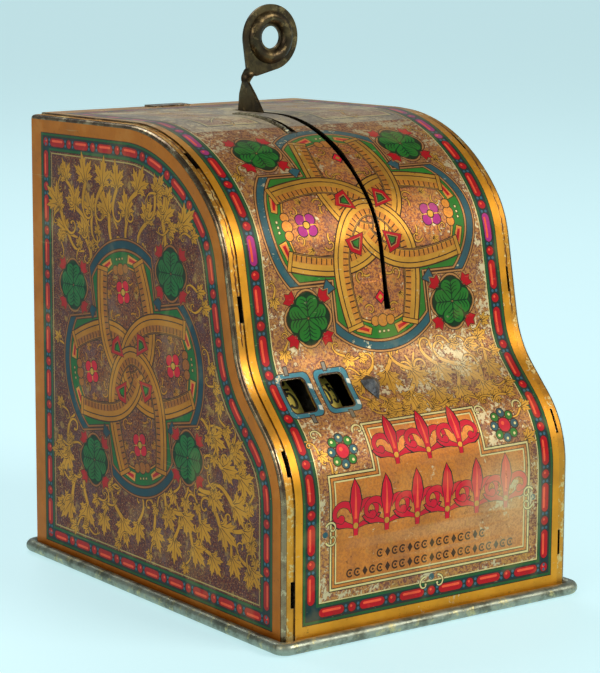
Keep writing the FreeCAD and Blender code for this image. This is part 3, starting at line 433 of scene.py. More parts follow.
def clover(pen, reach, side, turn):
    """Four-leaf clover on a tan-edged ground, with red buds between the leaves' corners."""
    green = side_or("clover", side)
    for step in range(4):
        bud = pen.moved(0, 0, turn + 45 + 90 * step)
        for grow, ink in ((1.0, side_or("pink", side)), (0.65, "outline"), (0.35, side_or("red", side))):
            for swing in (-58, 0, 58):
                petal = bud.moved(reach * 1.12, 0, swing)
                wide, tip = 0.95 + grow, 2.7 + grow
                petal.fill([(-1.0 - grow, 0.0), (1.0, -wide), (tip, 0.0), (1.0, wide)], ink)
    for grow, ink in ((1.7, "outline"), (1.4, side_or("pink", side)), (0.8, "outline"), (0.45, "vein")):
        for step in range(4):
            u, v = turned((reach * 0.58, 0.0), math.radians(turn + 90 * step))
            pen.fill(circle(u, v, reach * 0.44 + grow, 20), ink)
    for step in range(4):
        leaf = pen.moved(0, 0, turn + 90 * step)
        outer = leaf_outline(reach)
        leaf.fill([(u * 1.05 - 0.1, v * 1.1) for u, v in outer], "vein")
        leaf.fill([(u * 0.97 + 0.15, v * 0.92) for u, v in outer], green)
        leaf.line([(0.3, 0.0), (reach * 0.78, 0.0)], 0.4, "vein")
        for share in (0.3, 0.46, 0.62):
            for flip in (-1, 1):
                steps = ((0.0, 0.0), (0.15, 0.16), (0.2, 0.33))
                rib = [(reach * (share + u), flip * reach * v) for u, v in steps]
                leaf.line(rib, lambda t: 0.42 - 0.25 * t, "vein")


def rosette(pen, reach, ink, heart_ink="gold"):
    """Four-petal flower with a round heart."""
    for grow, colour in ((0.35, "outline"), (0.0, ink)):
        for step in range(4):
            petal = pen.moved(0, 0, 45 + 90 * step)
            petal.fill(arc(reach * 0.56, 0, reach * 0.42 + grow, 0, 330, 11), colour)
    for step in range(4):
        ray = pen.moved(0, 0, 90 * step)
        ray.fill([(0.4, -0.35), (reach * 0.95, 0.0), (0.4, 0.35)], "gold")
    pen.fill(circle(0, 0, reach * 0.34, 12), "outline")
    pen.fill(circle(0, 0, reach * 0.25, 10), heart_ink)


def jewel(pen, length, width):
    """A gold-edged red and orange lozenge."""
    half, low = length / 2, width / 2
    shape = [(-half, -low), (half, -low * 0.7), (half, low * 0.7), (-half, low)]
    for share, ink in ((1.5, "outline"), (1.25, "gold"), (0.85, "orange"), (0.5, "red")):
        pen.fill([(u * (1 + (share - 1) * 0.5), v * share) for u, v in shape], ink)


LOBE_CENTRE = 13.0
LOBE_RADIUS = 28.0
LOBE_HALF = 18.4
SHOE_HALVES = (
    (-4.2, 0.0), (-3.9, 2.4), (-3.0, 4.6), (-1.4, 6.9), (0.6, 8.8), (3.2, 10.6), (6.2, 12.1),
    (9.8, 13.2), (14.0, 13.7),
    (18.5, 13.6), (23.0, 13.0), (28.0, 12.1), (33.0, 10.8),
)


def lobe(radius, half):
    """One arm of the quatrefoil, from the middle out along +u."""
    spread = math.degrees(math.asin(half / radius))
    return [(0.0, half), (0.0, -half)] + arc(LOBE_CENTRE, 0, radius, -spread, spread, 24)


def shoe_line(apart=0.0):
    """A horseshoe that opens along +u, this far outside its middle line."""
    upper = Track([(u, h) for u, h in SHOE_HALVES])
    points = []
    steps = 22
    for k in range(steps + 1):
        u, v, heading = upper.at(upper.length * k / steps)
        if k == 0:
            heading = math.pi / 2
        points.append((u - apart * math.sin(heading), v + apart * math.cos(heading)))
    return [(u, -v) for u, v in reversed(points[1:])] + points


def horseshoe(pen, side, part=(0.0, 1.0)):
    """The ringed band of one horseshoe, or part of it."""
    gold, ladder = side_or("gold", side), side_or("ladder", side)
    layers = (
        (0.0, 6.6, "outline"), (0.0, 6.0, side_or("pink", side)), (2.2, 1.8, "outline"), (2.2, 1.25, gold),
        (-0.7, 4.3, "outline"), (-0.7, 3.8, gold), (-1.4, 2.0, ladder),
    )
    for apart, width, ink in layers:
        track = Track(shoe_line(apart))
        steps = 40 if part == (0.0, 1.0) else 16
        points = track.between(part[0] * track.length, part[1] * track.length, steps)
        pen.line(points, width, ink)
    track = Track(shoe_line(-1.5))
    start, end = part[0] * track.length + 1.2, part[1] * track.length - 1.2
    rungs = int((end - start) / 1.9)
    for k in range(rungs):
        u, v, heading = track.at(start + (k + 0.5) * (end - start) / rungs)
        mark = pen.moved(u, v, math.degrees(heading))
        mark.fill(box(-0.2, -1.0, 0.2, 0.95), "outline")
    track = Track(shoe_line())
    for share in (0.0, 1.0):
        if share in part:
            u, v, heading = track.at(share * track.length)
            cap = pen.moved(u, v, math.degrees(heading))
            cap.fill(box(-0.9, -3.3, 0.9, 3.3), "outline")
            cap.fill(box(-0.6, -3.0, 0.6, 3.0), gold)


def medallion(pen, side, clovers, motifs, clover_turn):
    """Four rounded arms behind four interlaced horseshoes."""
    quarters = [pen.moved(0, 0, 90 * k) for k in range(4)]
    edge = side_or("pink", side)
    layers = (
        (1.0, 1.1, "outline"), (0.7, 0.8, edge), (0.2, 0.3, "outline"), (-0.1, 0.0, side_or("blue", side)),
        (-2.4, 0.0, "outline"), (-2.7, -0.3, edge), (-3.3, -0.8, "outline"),
        (-3.6, -1.1, side_or("green", side)),
    )
    for grow, widen, ink in layers:
        for quarter in quarters:
            quarter.fill(lobe(LOBE_RADIUS + grow, LOBE_HALF + widen), ink)
    for grow, half, ink in ((-7.9, 10.9, "outline"), (-8.2, 10.6, side_or("gold", side)),
                            (-8.7, 10.2, "outline"),
                            (-9.0, 9.9, side_or("ground_lobe", side))):
        for quarter in quarters:
            quarter.fill(lobe(LOBE_RADIUS + grow, half), ink)
    pen.fill(box(-15.0, -15.0, 15.0, 15.0), side_or("ground_lobe", side))
    for quarter in quarters:
        for swing in (-20, 20):
            a = math.radians(swing)
            middle = LOBE_RADIUS - 5.8
            gem = quarter.moved(LOBE_CENTRE + middle * math.cos(a), middle * math.sin(a), swing + 90)
            jewel(gem, 5.0, 2.3)
        for swing in (-3.4, 0, 3.4):
            pip = quarter.moved(LOBE_CENTRE + LOBE_RADIUS - 5.8, swing * 0.5)
            pip.fill(box(-0.5, -0.55, 0.5, 0.55), "outline")
            pip.fill(box(-0.3, -0.35, 0.3, 0.35), side_or("cream", side))
        crown_at = quarter.moved(31.8, 0)
        for v, size in ((-3.0, 1.5), (0.0, 1.9), (3.0, 1.5)):
            crown_at.fill(circle(0, v, size + 0.3, 12), "outline")
            crown_at.fill(circle(0, v, size, 12), side_or("ladder", side))
        for flip in (-1, 1):
            curls = ((16.5, 2.6, 40, 2.5), (19.5, 6.6, 100, 2.3), (28.0, 6.6, 200, 2.1), (12.5, 6.5, 10, 1.9))
            for u, v, turn, size in curls:
                scroll(quarter.moved(u, flip * v, flip * turn), size, flip, side_or("gold", side))
            acanthus(quarter.moved(23.5, flip * 7.6, flip * 35), 2.7, side_or("gold", side), "outline")
        corner = quarter.moved(0, 0, 45).moved((LOBE_HALF + 1.2) * math.sqrt(2), 0)
        corner.fill([(-1.4, -2.6), (2.0, -1.4), (2.0, 1.4), (-1.4, 2.6)], "outline")
        corner.fill([(-1.1, -2.1), (1.7, -1.1), (1.7, 1.1), (-1.1, 2.1)], side_or("blue", side))
    for quarter, motif in zip(quarters, motifs):
        spot = quarter.moved(24.5, 0)
        if motif == "flower":
            rosette(spot, 4.4, "crimson" if side else "magenta")
        else:
            for grow, ink in ((2.5, "outline"), (2.0, "crimson"), (0.9, "gold")):
                spot.fill([(grow, 0), (0, grow), (-grow, 0), (0, -grow)], ink)
    for quarter in quarters:
        horseshoe(quarter, side)
    horseshoe(quarters[0], side, (0.0, 0.45))
    for k in range(4):
        gem = pen.moved(0, 0, 45 + 90 * k).moved(9.9, 0)
        layers = (
            (4.7, "outline"), (4.35, side_or("red", side)), (2.7, side_or("pink", side)),
            (2.3, "outline"), (1.5, "clover"),
        )
        for grow, ink in layers:
            kite = ((-1.0, 0.0), (0.45, -0.85), (0.8, 0.0), (0.45, 0.85))
            gem.fill([(grow * u, grow * v) for u, v in kite], ink)
    for u, v in clovers:
        clover(pen.moved(u, v), CLOVER_REACH, side, clover_turn)


def medallion_reach(du, dv):
    """How far this offset from a medallion's middle lies outside its lobes."""
    du, dv = abs(du), abs(dv)
    first = math.hypot(max(du - LOBE_CENTRE, 0), dv)
    second = math.hypot(du, max(dv - LOBE_CENTRE, 0))
    return min(max(first - LOBE_RADIUS, dv - LOBE_HALF), max(second - LOBE_RADIUS, du - LOBE_HALF))


def strew_leaves(pen, field, keep_off, side):
    """Leaf sprays over a field, clear of what keep_off measures."""
    (low_u, high_u, low_v, high_v), step, size, seed = field
    rng = random.Random(seed)
    rows = int((high_v - low_v) / (step * 0.86)) + 1
    for row in range(rows):
        v = low_v + row * step * 0.86
        columns = int((high_u - low_u) / step) + 1
        for column in range(columns):
            u = low_u + (column + 0.5 * (row % 2)) * step
            pu, pv = u + rng.uniform(-1, 1), v + rng.uniform(-1, 1)
            lean = rng.uniform(-28, 28)
            flip = rng.choice((-1, 1))
            grow = size * rng.uniform(0.85, 1.15)
            room, away = keep_off(pu, pv)
            if room > size * 0.55:
                spray(pen.moved(pu, pv, math.degrees(away) + lean), grow, flip, side)


# ---- the side's print, drawn in (y, z) ----

SIDE_MIDDLE = (11.0, 73.0)
SIDE_TURN = -11.0
SIDE_CLOVERS = ((46.0, 95.5), (-12.0, 106.5), (-21.0, 50.0), (34.0, 39.0))
SIDE_JOIN_Z = 73.0
SIDE_PRINTS = (("lower", 0.0, SIDE_JOIN_Z), ("upper", SIDE_JOIN_Z, 160.0))
SIDE_BEAD_PERIOD = 15.0
# leaf fields: (box, spacing, leaf size, seed)
SIDE_LEAVES = ((-60, 60, 14, 138), 10.4, 7.8, 11)
SIDE_SMALL_LEAVES = ((-58, 59, 15, 136), 6.4, 4.0, 5)
SIDE_REAR = 62.7
SIDE_FOOT = 8.3
SIDE_INSET = 8.9


def inset_front(inset, low, high_y):
    """Points up the curved front and along the roof, this far inside the outer profile."""
    points = []
    place = 0.0
    while place <= SHEET_LENGTH - 1e-6:
        y, z, heading = on_profile(place)
        ny, nz = outward(heading)
        y, z = y - ny * inset, z - nz * inset
        if z > low and y < high_y:
            points.append((y, z))
        place += PROFILE_STEP
    return points


def side_loop(grow):
    """The side's frame line, this far inside the row of beads."""
    low, rear = SIDE_FOOT + grow, SIDE_REAR - grow
    front = inset_front(SIDE_INSET + grow, low, rear)
    first = (front[0][0], low)
    last = (rear, front[-1][1])
    return [(rear, low), first] + front + [last]


def side_outline():
    front = inset_front(SEAM_DROP + FOLD_RADIUS, FOOT_Z, HALF_DEPTH - 0.1)
    rear = HALF_DEPTH - 0.1
    return [(rear, FOOT_Z), (front[0][0], FOOT_Z)] + front + [(rear, front[-1][1])]


def side_part(low, high):
    """The side's outline between two heights."""
    outline = side_outline()
    for limit, keep in ((low, 1), (high, -1)):
        cut = []
        for (u0, v0), (u1, v1) in zip(outline, outline[1:] + outline[:1]):
            if keep * (v0 - limit) >= 0:
                cut.append((u0, v0))
            if (v0 - limit) * (v1 - limit) < 0:
                cut.append((u0 + (u1 - u0) * (limit - v0) / (v1 - v0), limit))
        outline = cut
    return outline


def side_room(y, z):
    """Free room at a point of the side's field, and the way from the medallion."""
    turn = math.radians(-SIDE_TURN)
    du, dv = turned((y - SIDE_MIDDLE[0], z - SIDE_MIDDLE[1]), turn)
    room = medallion_reach(du, dv) - 1.0
    for cu, cv in SIDE_CLOVERS:
        room = min(room, math.hypot(y - cu, z - cv) - 10.5)
    room = min(room, SIDE_REAR - 4.2 - y, z - SIDE_FOOT - 4.2)
    for fy, fz in SIDE_FIELD_EDGE:
        room = min(room, math.hypot(y - fy, z - fz))
    inside = point_inside(y, z, SIDE_FIELD)
    away = math.atan2(dv, du) - turn
    return (room if inside else -1.0), away


def point_inside(u, v, outline):
    inside = False
    for (au, av), (bu, bv) in zip(outline, outline[1:] + outline[:1]):
        if (av > v) != (bv > v) and u < (bu - au) * (v - av) / (bv - av) + au:
            inside = not inside
    return inside


SIDE_FIELD = side_loop(3.9)
SIDE_FIELD_EDGE = SIDE_FIELD[1:-1:2]


def side_art():
    shapes = [(side_outline(), "amber")]
    pen = Pen(shapes)
    frames = (
        (-3.1, "outline"), (-2.8, "line_green"), (-2.1, "outline"), (-1.9, "band_teal"), (1.9, "line_green"),
        (2.7, "outline"), (2.95, "ground_side"), (3.4, "cream_side"), (3.8, "ground_side"),
    )
    for grow, ink in frames:
        pen.fill(side_loop(grow), ink)

    def red(u, v):
        return "red_side"

    loop = side_loop(0.0)
    bottom = Track([loop[0], loop[1]])
    bead_run(pen, bottom, 0.0, bottom.length, 9, red)
    rise = Track(loop[1:])
    bead_run(pen, rise, 0.0, rise.length, round(rise.length / SIDE_BEAD_PERIOD), red)
    rear = Track([loop[-1], loop[0]])
    bead_run(pen, rear, 0.0, rear.length, 9, red)
    strew_leaves(pen, SIDE_LEAVES, side_room, True)
    strew_leaves(pen, SIDE_SMALL_LEAVES, side_room_small, True)
    middle = pen.moved(SIDE_MIDDLE[0], SIDE_MIDDLE[1], SIDE_TURN)
    back = math.radians(-SIDE_TURN)
    local = [turned((u - SIDE_MIDDLE[0], v - SIDE_MIDDLE[1]), back) for u, v in SIDE_CLOVERS]
    medallion(middle, True, local, ("flower",) * 4, 10)
    return shapes


def side_room_small(y, z):
    room, away = side_room(y, z)
    return (room if room < 5.4 else -1.0), away + 0.8


# ---- the front's print, drawn in (x, distance up the sheet) ----

FRONT_MIDDLE = (0.0, 131.0)
FRONT_CLOVERS = ((28.5, -28.5), (-28.5, -28.5), (28.5, 29.5), (-28.5, 29.5))
FRAME_X = 46.4
FRAME_FOOT = 10.2
FRAME_TOP = SHEET_LENGTH - 13.0
FADE_FROM, FADE_TO = 160.0, 190.0
FRONT_BEAD_PERIOD = 15.6
FRONT_LEAVES = ((-42, 42, 15, 172), 9.8, 7.2, 3)
FRONT_SMALL_LEAVES = ((-41, 41, 17, 170), 6.0, 3.8, 8)
FRONT_JOINS = (91.0, 172.0)
FRONT_PRINTS = (
    ("front_label_print", FOOT_Z, FRONT_JOINS[0]), ("front_clover_print", *FRONT_JOINS),
    ("front_roof_print", FRONT_JOINS[1], SHEET_LENGTH - 0.1),
)


def touches(outline, low, high):
    """True where a flat shape reaches into the strip between two heights."""
    heights = [v for _u, v in outline]
    return max(heights) > low and min(heights) < high


def front_frame(grow):
    return box(-FRAME_X + grow, FRAME_FOOT + grow, FRAME_X - grow, FRAME_TOP - grow)


def slot_outline():
    """Round the lever's slot."""
    rows = (
        (place_at_y(SLOT_REAR_Y) + 0.1, SLOT_TOP_HALF), (place_at_z(145.0), SLOT_TOP_HALF),
        (place_at_z(141.0), SLOT_TOP_HALF), (place_at_z(136.0), SLOT_FACE_HALF),
        (place_at_z(100.6), SLOT_FACE_HALF), (place_at_z(97.6), SLOT_END_HALF),
        (place_at_z(94.6) - 0.1, SLOT_END_HALF),
    )
    return [(LEVER_X + w, s) for s, w in rows] + [(LEVER_X - w, s) for s, w in reversed(rows)]


def front_room(x, s):
    """Free room at a point of the front's field, and the way a leaf grows there."""
    du, dv = x - FRONT_MIDDLE[0], s - FRONT_MIDDLE[1]
    room = medallion_reach(du, dv) - 1.0
    for cu, cv in FRONT_CLOVERS:
        room = min(room, math.hypot(du - cu, dv - cv) - 10.5)
    room = min(room, 43.0 - abs(x), s - FRAME_FOOT - 4.0)
    for wx in WINDOWS_X:
        room = min(room, max(abs(x - wx) - 6.6, abs(s - WINDOW_PLACE) - 8.6))
    if s < 66.5:
        room = min(room, abs(x) - 40.5 if s < 52 else max(abs(x) - 23.5, s - 66.5))
    else:
        room = min(room, s - 66.0)
    for jx in (-32.0, 32.0):
        room = min(room, math.hypot(x - jx, s - 58.5) - 6.0)
    room = min(room, 172.0 - s)
    return room, math.atan2(dv, du)


def cartouche(pen):
    """Stepped label panel with a double frame; inside it only ornament."""
    steps = (
        (-39.3, 16.5), (39.4, 16.5), (39.4, 52.0), (22.0, 52.0), (22.0, 66.0), (-22.0, 66.0),
        (-22.0, 51.5), (-39.3, 51.5),
    )

    def inside(grow):
        signs = ((1, 1), (-1, 1), (-1, -1), (-1, -1), (-1, -1), (1, -1), (1, -1), (1, -1))
        return [(u + su * grow, v + sv * grow) for (u, v), (su, sv) in zip(steps, signs)]

    layers = (
        (-0.5, "outline"), (-0.2, "cream"), (0.4, "outline"), (0.7, "cartouche"), (1.5, "outline"),
        (1.75, "cream"), (2.2, "cartouche"),
    )
    for grow, ink in layers:
        pen.fill(inside(grow), ink)
    frieze(pen.moved(0, 59.2), 3, 12.6, 4.3)
    frieze(pen.moved(0, 40.2), 6, 11.9, 4.7)
    for row, reach in ((25.4, 23), (20.8, 32)):
        count = int(reach / 2.9)
        for k in range(-count, count + 1):
            mark = pen.moved(k * 2.9, row)
            if k % 3:
                mark.line(arc(0, 0, 1.1, 40, 320, 10), 0.55, "outline")
                mark.fill(circle(0.1, 0, 0.42, 7), "outline")
            else:
                mark.fill([(-1.0, 0), (0, -1.5), (1.0, 0), (0, 1.5)], "outline")


def petal(pen, length, width, ink, edge="numeral"):
    for grow, colour in ((0.45, edge), (0.0, ink)):
        far, wide = length + grow, width / 2 + grow
        side = [(0.0, 0.35), (0.3, 0.5), (0.6, 1.0), (0.82, 0.7)]
        upper = [(far * u, wide * v) for u, v in side]
        pen.fill([(u, -v) for u, v in upper] + [(far, 0.0)] + upper[::-1], colour)


def frieze(pen, count, pitch, size):
    """A row of red ornaments: paired scrolls round an upright petal, edged dark."""
    for k in range(count):
        unit = pen.moved((k - (count - 1) / 2) * pitch, 0)
        for flip in (-1, 1):
            petal(unit.moved(flip * 0.8, -1.1 * size, 90 - flip * 72), 1.9 * size, 0.62 * size, "crimson")
            scroll(unit.moved(flip * 0.9, -0.5 * size, 90), size, -flip, "crimson", "numeral", 1.75)
        petal(unit.moved(0, -1.7 * size, 90), 3.7 * size, 0.9 * size, "crimson")
        glow = unit.moved(0, -0.6 * size, 90)
        glow.line([(0.0, 0.0), (2.2 * size, 0.0)], lambda t: 0.2 * size * (1 - t) + 0.12, "red_glow")
        unit.fill(circle(0, -1.05 * size, 0.2 * size, 10), "gold")


def jewel_rosette(pen):
    for k in range(8):
        petal = pen.moved(0, 0, 45 * k)
        ink = "green" if k % 2 else "blue"
        for radius, colour in ((1.75, "outline"), (1.4, ink)):
            petal.fill(circle(4.1, 0, radius, 12), colour)
        petal.fill(circle(4.4, 0, 0.5, 7), "cream")
    for radius, colour in ((2.7, "outline"), (2.25, "crimson")):
        pen.fill(circle(0, 0, radius, 16), colour)
    pen.fill(circle(-0.5, 0.6, 0.7, 8), "red_glow")


def window_frame(pen, x):
    spot = pen.moved(x, WINDOW_PLACE)
    spot.fill(rounded_box(0.2, 0, 6.5, 8.0, 2.2), "outline")
    spot.fill(rounded_box(0.2, 0, 6.2, 7.7, 2.0), "teal_frame")
    spot.fill(rounded_box(0.0, 0, 4.8, 6.35, 1.8), "outline")
    for v in (-5.6, 2.2):
        spot.fill([(5.2, v), (6.4, v - 0.5), (6.6, v + 1.3), (5.4, v + 1.6)], "chip")
    for u, v in ((-1.2, 8.6), (1.5, -8.6)):
        tongue = spot.moved(u, v)
        tongue.fill(box(-0.9, -1.6, 0.9, 1.6), "outline")
        tongue.fill(box(-0.6, -1.3, 0.6, 1.3), "bracket")


def top_print(pen):
    """Faded ornament of the roof."""
    low = 181.0
    high = FRAME_TOP - 6.0
    pen.fill(box(-42.5, low - 5, 42.5, high), "rubbed")
    for u0, u1 in ((-34.0, -14.0), (12.0, 40.0)):
        for grow, ink in ((0.8, "bracket"), (0.0, "cream"), (-0.7, "rubbed_warm")):
            pen.fill(box(u0 - grow, low - grow, u1 + grow, low + 44 + grow), ink)
    for flip, centre in ((-1, -25.0), (1, 26.0)):
        for k in range(3):
            leaf = pen.moved(centre, low + 9 + 13 * k, 90)
            spray(leaf, 6.2, flip, False)
    for k in range(7):
        knot = pen.moved(-36 + k * 12, high - 8, 90)
        acanthus(knot, 5.2, "gold_leaf", "bracket")
    arch = arc(LEVER_X - 3.0, low - 12, 33, 30, 150, 20)
    pen.line(arch, 1.1, "bracket")
    pen.line(arch, 0.5, "cream")


def front_art():
    shapes = [(box(-SEAM_X + 0.1, FOOT_Z, SEAM_X - 0.1, SHEET_LENGTH - 0.1), "amber_front")]
    pen = Pen(shapes)
    frames = (
        (-3.2, "outline"), (-2.95, "line_green"), (-2.1, "outline"), (-1.9, "band_teal"), (1.9, "line_green"),
        (2.75, "outline"), (2.95, "cream"), (3.3, "ground"),
    )
    for grow, ink in frames:
        pen.fill(front_frame(grow), ink)

    def red(u, v):
        # Painted reflection: the red beads turn magenta on the crown and roof (above 160 mm up), across the
        # brow (120-130 mm up) and just above the waist (96-100 mm up), standing in for the violet sheen of
        # light off the curved tin.
        return "magenta" if v > 160 or 120 < v < 130 or 96 < v < 100 else "red"

    bottom = Track([(-FRAME_X, FRAME_FOOT), (FRAME_X, FRAME_FOOT)])
    bead_run(pen, bottom, 0.0, bottom.length, 6, red)
    periods = round((FRAME_TOP - FRAME_FOOT) / FRONT_BEAD_PERIOD)
    for u in (-FRAME_X, FRAME_X):
        rise = Track([(u, FRAME_FOOT), (u, FRAME_TOP)])
        bead_run(pen, rise, 0.0, rise.length, periods, red)
    top = Track([(-FRAME_X, FRAME_TOP), (FRAME_X, FRAME_TOP)])
    bead_run(pen, top, 0.0, top.length, 6, red)
    top_print(pen)
    strew_leaves(pen, FRONT_LEAVES, front_room, False)
    strew_leaves(pen, FRONT_SMALL_LEAVES, front_room_small, False)
    cartouche(pen)
    for x in (-32.0, 32.0):
        jewel_rosette(pen.moved(x, 58.5))
        for flip in (-1, 1):
            hook = pen.moved(x + flip * 6.2, 63.0, 90 + flip * 20)
            scroll(hook, 2.4, -flip, "cream")
    for x, turn in ((-41.2, 0), (41.2, 180)):
        side_knot = pen.moved(x, 34.0, turn)
        for flip in (-1, 1):
            scroll(side_knot.moved(0, flip * 1.5, flip * 80), 2.4, -flip, "cream")
        side_knot.fill(circle(0, 0, 1.0, 10), "blue")
    foot_knot = pen.moved(0, 14.6, 0)
    for flip in (-1, 1):
        scroll(foot_knot.moved(flip * 1.5, 0, 90 - flip * 70), 2.4, -flip, "cream")
    foot_knot.fill(circle(0, 0, 1.1, 10), "blue")
    for x in WINDOWS_X:
        window_frame(pen, x)
    middle_x = sum(WINDOWS_X) / 2
    pen.line([(middle_x, 72.5), (middle_x, 85.5)], 0.5, "pink")
    motifs = ("flower", "dot", "flower", "dot")
    medallion(pen.moved(FRONT_MIDDLE[0], FRONT_MIDDLE[1]), False, FRONT_CLOVERS, motifs, 0)
    for x in WINDOWS_X:
        pen.fill(rounded_box(x, WINDOW_PLACE, WINDOW_HALF[0], WINDOW_HALF[1], WINDOW_CORNER), HOLE)
    pen.fill(slot_outline(), HOLE)
    pen.fill(box(LIP_X[0], place_at_y(LIP_Y[0]), LIP_X[1], place_at_y(LIP_Y[1])), HOLE)
    pen.fill(box(REAR_TAB[0], place_at_y(REAR_TAB[2]), REAR_TAB[1], SHEET_LENGTH + 1), HOLE)
    return shapes


def front_room_small(x, s):
    room, away = front_room(x, s)
    return (room if room < 4.6 else -1.0), away + 1.1


def flange_art(side):
    """Gold strip beside the seam; side is -1 or 1."""
    inner, outer = SEAM_X + 0.06, HALF_WIDTH - FOLD_RADIUS
    shapes = [(box(inner, FOOT_Z, outer, SHEET_LENGTH - 0.2), "amber_flange")]
    pen = Pen(shapes)
    for place in TAB_SLOT_PLACES:
        half = TAB_SLOT_LENGTH / 2
        pen.fill(box(inner - 1, place - half, TAB_SLOT_EDGE, place + half), HOLE)
    rng = random.Random(17)
    edge = []
    place = 96.0
    while place < 196.0:
        edge.append((inner + 0.9 + rng.uniform(-0.18, 0.3), place))
        place += 1.3
    widths = [rng.uniform(0.1, 0.75) for _ in edge]
    pen.line(edge, lambda t: widths[round(t * (len(widths) - 1))], "rub_brown")
    if side < 0:
        return [([(-u, v) for u, v in outline], ink) for outline, ink in shapes]
    return shapes


def back_art():
    """Amber back with one framed line round the door."""
    inner = HALF_WIDTH - 1.3
    shapes = [(box(-inner, FOOT_Z, inner, 147.5), "amber")]
    pen = Pen(shapes)
    for grow, ink in ((0.0, "outline"), (0.4, "line_green"), (1.4, "outline"), (1.7, "band_teal"),
                      (4.6, "outline"),
                      (4.9, "line_green"), (5.9, "outline"), (6.2, "ground_side")):
        pen.fill(box(-inner + 5 + grow, 5.5 + grow, inner - 5 - grow, 143.0 - grow), ink)
    for k in range(-3, 4):
        leaf = pen.moved(k * 11.5, 112.5, 90)
        spray(leaf, 6.5, 1 if k % 2 else -1, True)
    for z in (124.0, 131.5):
        for k in range(-3, 4):
            pen.fill(circle(k * 11.5 + (5.7 if z > 130 else 0), z, 1.0, 10), "gold_side")
    pen.fill(box(-DOOR_HALF - 0.4, 3.8, DOOR_HALF + 0.4, DOOR_HIGH + 0.4), HOLE)
    return shapes


def door_art():
    middle, half = (DOOR_LOW + DOOR_HIGH) / 2, (DOOR_HIGH - DOOR_LOW) / 2
    shapes = [(rounded_box(0, middle, DOOR_HALF - 0.4, half - 0.4, 2.6), "amber")]
    pen = Pen(shapes)
    for grow, ink in ((3.0, "outline"), (3.4, "line_green"), (4.2, "outline"), (4.5, "ground_side")):
        pen.fill(box(-DOOR_HALF + grow, DOOR_LOW + 9 + grow, DOOR_HALF - grow, DOOR_HIGH - grow), ink)
    clover(pen.moved(0, 60), 9.0, True, 0)
    for k in range(4):
        spray(pen.moved(0, 60).moved(0, 0, 45 + 90 * k).moved(19, 0), 7.0, 1, True)
    pen.fill(box(-20.6, DOOR_LOW - 1, 20.6, 19.6), HOLE)
    pen.fill(circle(0, 94, 2.2, 16), HOLE)
    return shapes


# ---- numerals ----

NUMERALS = {
    "0": [arc(0.5, 0.5, 0.5, 90, 450, 20)],
    "1": [[(0.25, 0.8), (0.55, 1.0), (0.55, 0.0)], [(0.25, 0.0), (0.85, 0.0)]],
    "2": [arc(0.5, 0.72, 0.42, 165, -25, 9) + [(0.05, 0.0)], [(0.05, 0.02), (0.98, 0.02)]],
    "3": [arc(0.45, 0.74, 0.36, 150, -90, 9), arc(0.45, 0.28, 0.42, 90, -150, 10)],
    "4": [[(0.7, 0.0), (0.7, 1.0), (0.05, 0.3), (1.0, 0.3)]],
    "5": [[(0.92, 0.98), (0.18, 0.98)], [(0.2, 1.0), (0.14, 0.55)], arc(0.46, 0.32, 0.44, 125, -150, 12)],
    "6": [arc(0.5, 0.3, 0.42, 0, 360, 16), [(0.1, 0.35), (0.2, 0.75), (0.5, 0.98), (0.86, 0.9)]],
    "7": [[(0.05, 0.98), (0.95, 0.98), (0.4, 0.0)]],
    "8": [arc(0.5, 0.74, 0.33, 90, 450, 14), arc(0.5, 0.28, 0.42, 90, 450, 16)],
    "9": [arc(0.5, 0.7, 0.42, 0, 360, 16), [(0.9, 0.65), (0.8, 0.25), (0.5, 0.02), (0.14, 0.1)]],
}
NUMERAL_HEIGHT = 6.6
NUMERAL_MIDDLE = 6.7
NUMERAL_RISE = 3.4
NUMERAL_GAP = 0.55
DOLLARS_WIDTH, CENTS_WIDTH = 2.9, 1.9
FIRST_DOLLARS, FIRST_CENTS, CENTS_STEP = 5, 65, 5
BAND_ROW_STEP = 1.3
FLANGE_ROW_STEP = 1.2


def band_art(numbers, width):
    """A paper band with one number at each step, in (across, distance round the drum)."""
    turn = 2 * math.pi * DRUM_RADIUS
    shapes = [(box(0.1, -turn / 2, DRUM_WIDTH - 0.1, turn / 2 - 0.02), "paper")]
    pen = Pen(shapes)
    pitch = turn / len(numbers)
    for k, number in enumerate(numbers):
        v = k * pitch
        if v > turn / 2:
            v -= turn
        if abs(abs(v) - turn / 2) < pitch * 0.6:
            continue
        whole = len(number) * width + (len(number) - 1) * NUMERAL_GAP
        for place, digit in enumerate(number):
            left = NUMERAL_MIDDLE - whole / 2 + place * (width + NUMERAL_GAP)
            for stroke in NUMERALS[digit]:
                foot = v + NUMERAL_RISE - NUMERAL_HEIGHT / 2
                points = [(left + u * width, foot + t * NUMERAL_HEIGHT) for u, t in stroke]
                pen.line(points, 0.85 if width < 2.3 else 1.05, "numeral")
    return shapes


# ---- thin printed films from the flat drawings ----

def topmost(cells, flat, shapes):
    """For each cell, the number of the last painted shape over its middle, or -1 outside the sheet."""
    where = np.array([tuple(p) for p in flat])
    middles = where[np.array(cells)].mean(axis=1)
    us, vs = middles[:, 0], middles[:, 1]
    tops = np.full(len(cells), -1)
    for k, (outline, _ink) in enumerate(shapes):
        ring = np.array(outline)
        low, high = ring.min(axis=0), ring.max(axis=0)
        near = np.nonzero((us >= low[0]) & (us <= high[0]) & (vs >= low[1]) & (vs <= high[1]))[0]
        turns = np.zeros(len(near), dtype=int)
        u, v = us[near], vs[near]
        for (u0, v0), (u1, v1) in zip(ring, np.roll(ring, -1, axis=0)):
            left = (u1 - u0) * (v - v0) - (u - u0) * (v1 - v0)
            turns += (v0 <= v) & (v1 > v) & (left > 0)
            turns -= (v0 > v) & (v1 <= v) & (left < 0)
        inside = near[turns != 0]
        if k:
            inside = inside[tops[inside] >= 0]
            inside = inside[[shapes[n][1] != HOLE for n in tops[inside]]] if len(inside) else inside
        tops[inside] = k
    return tops


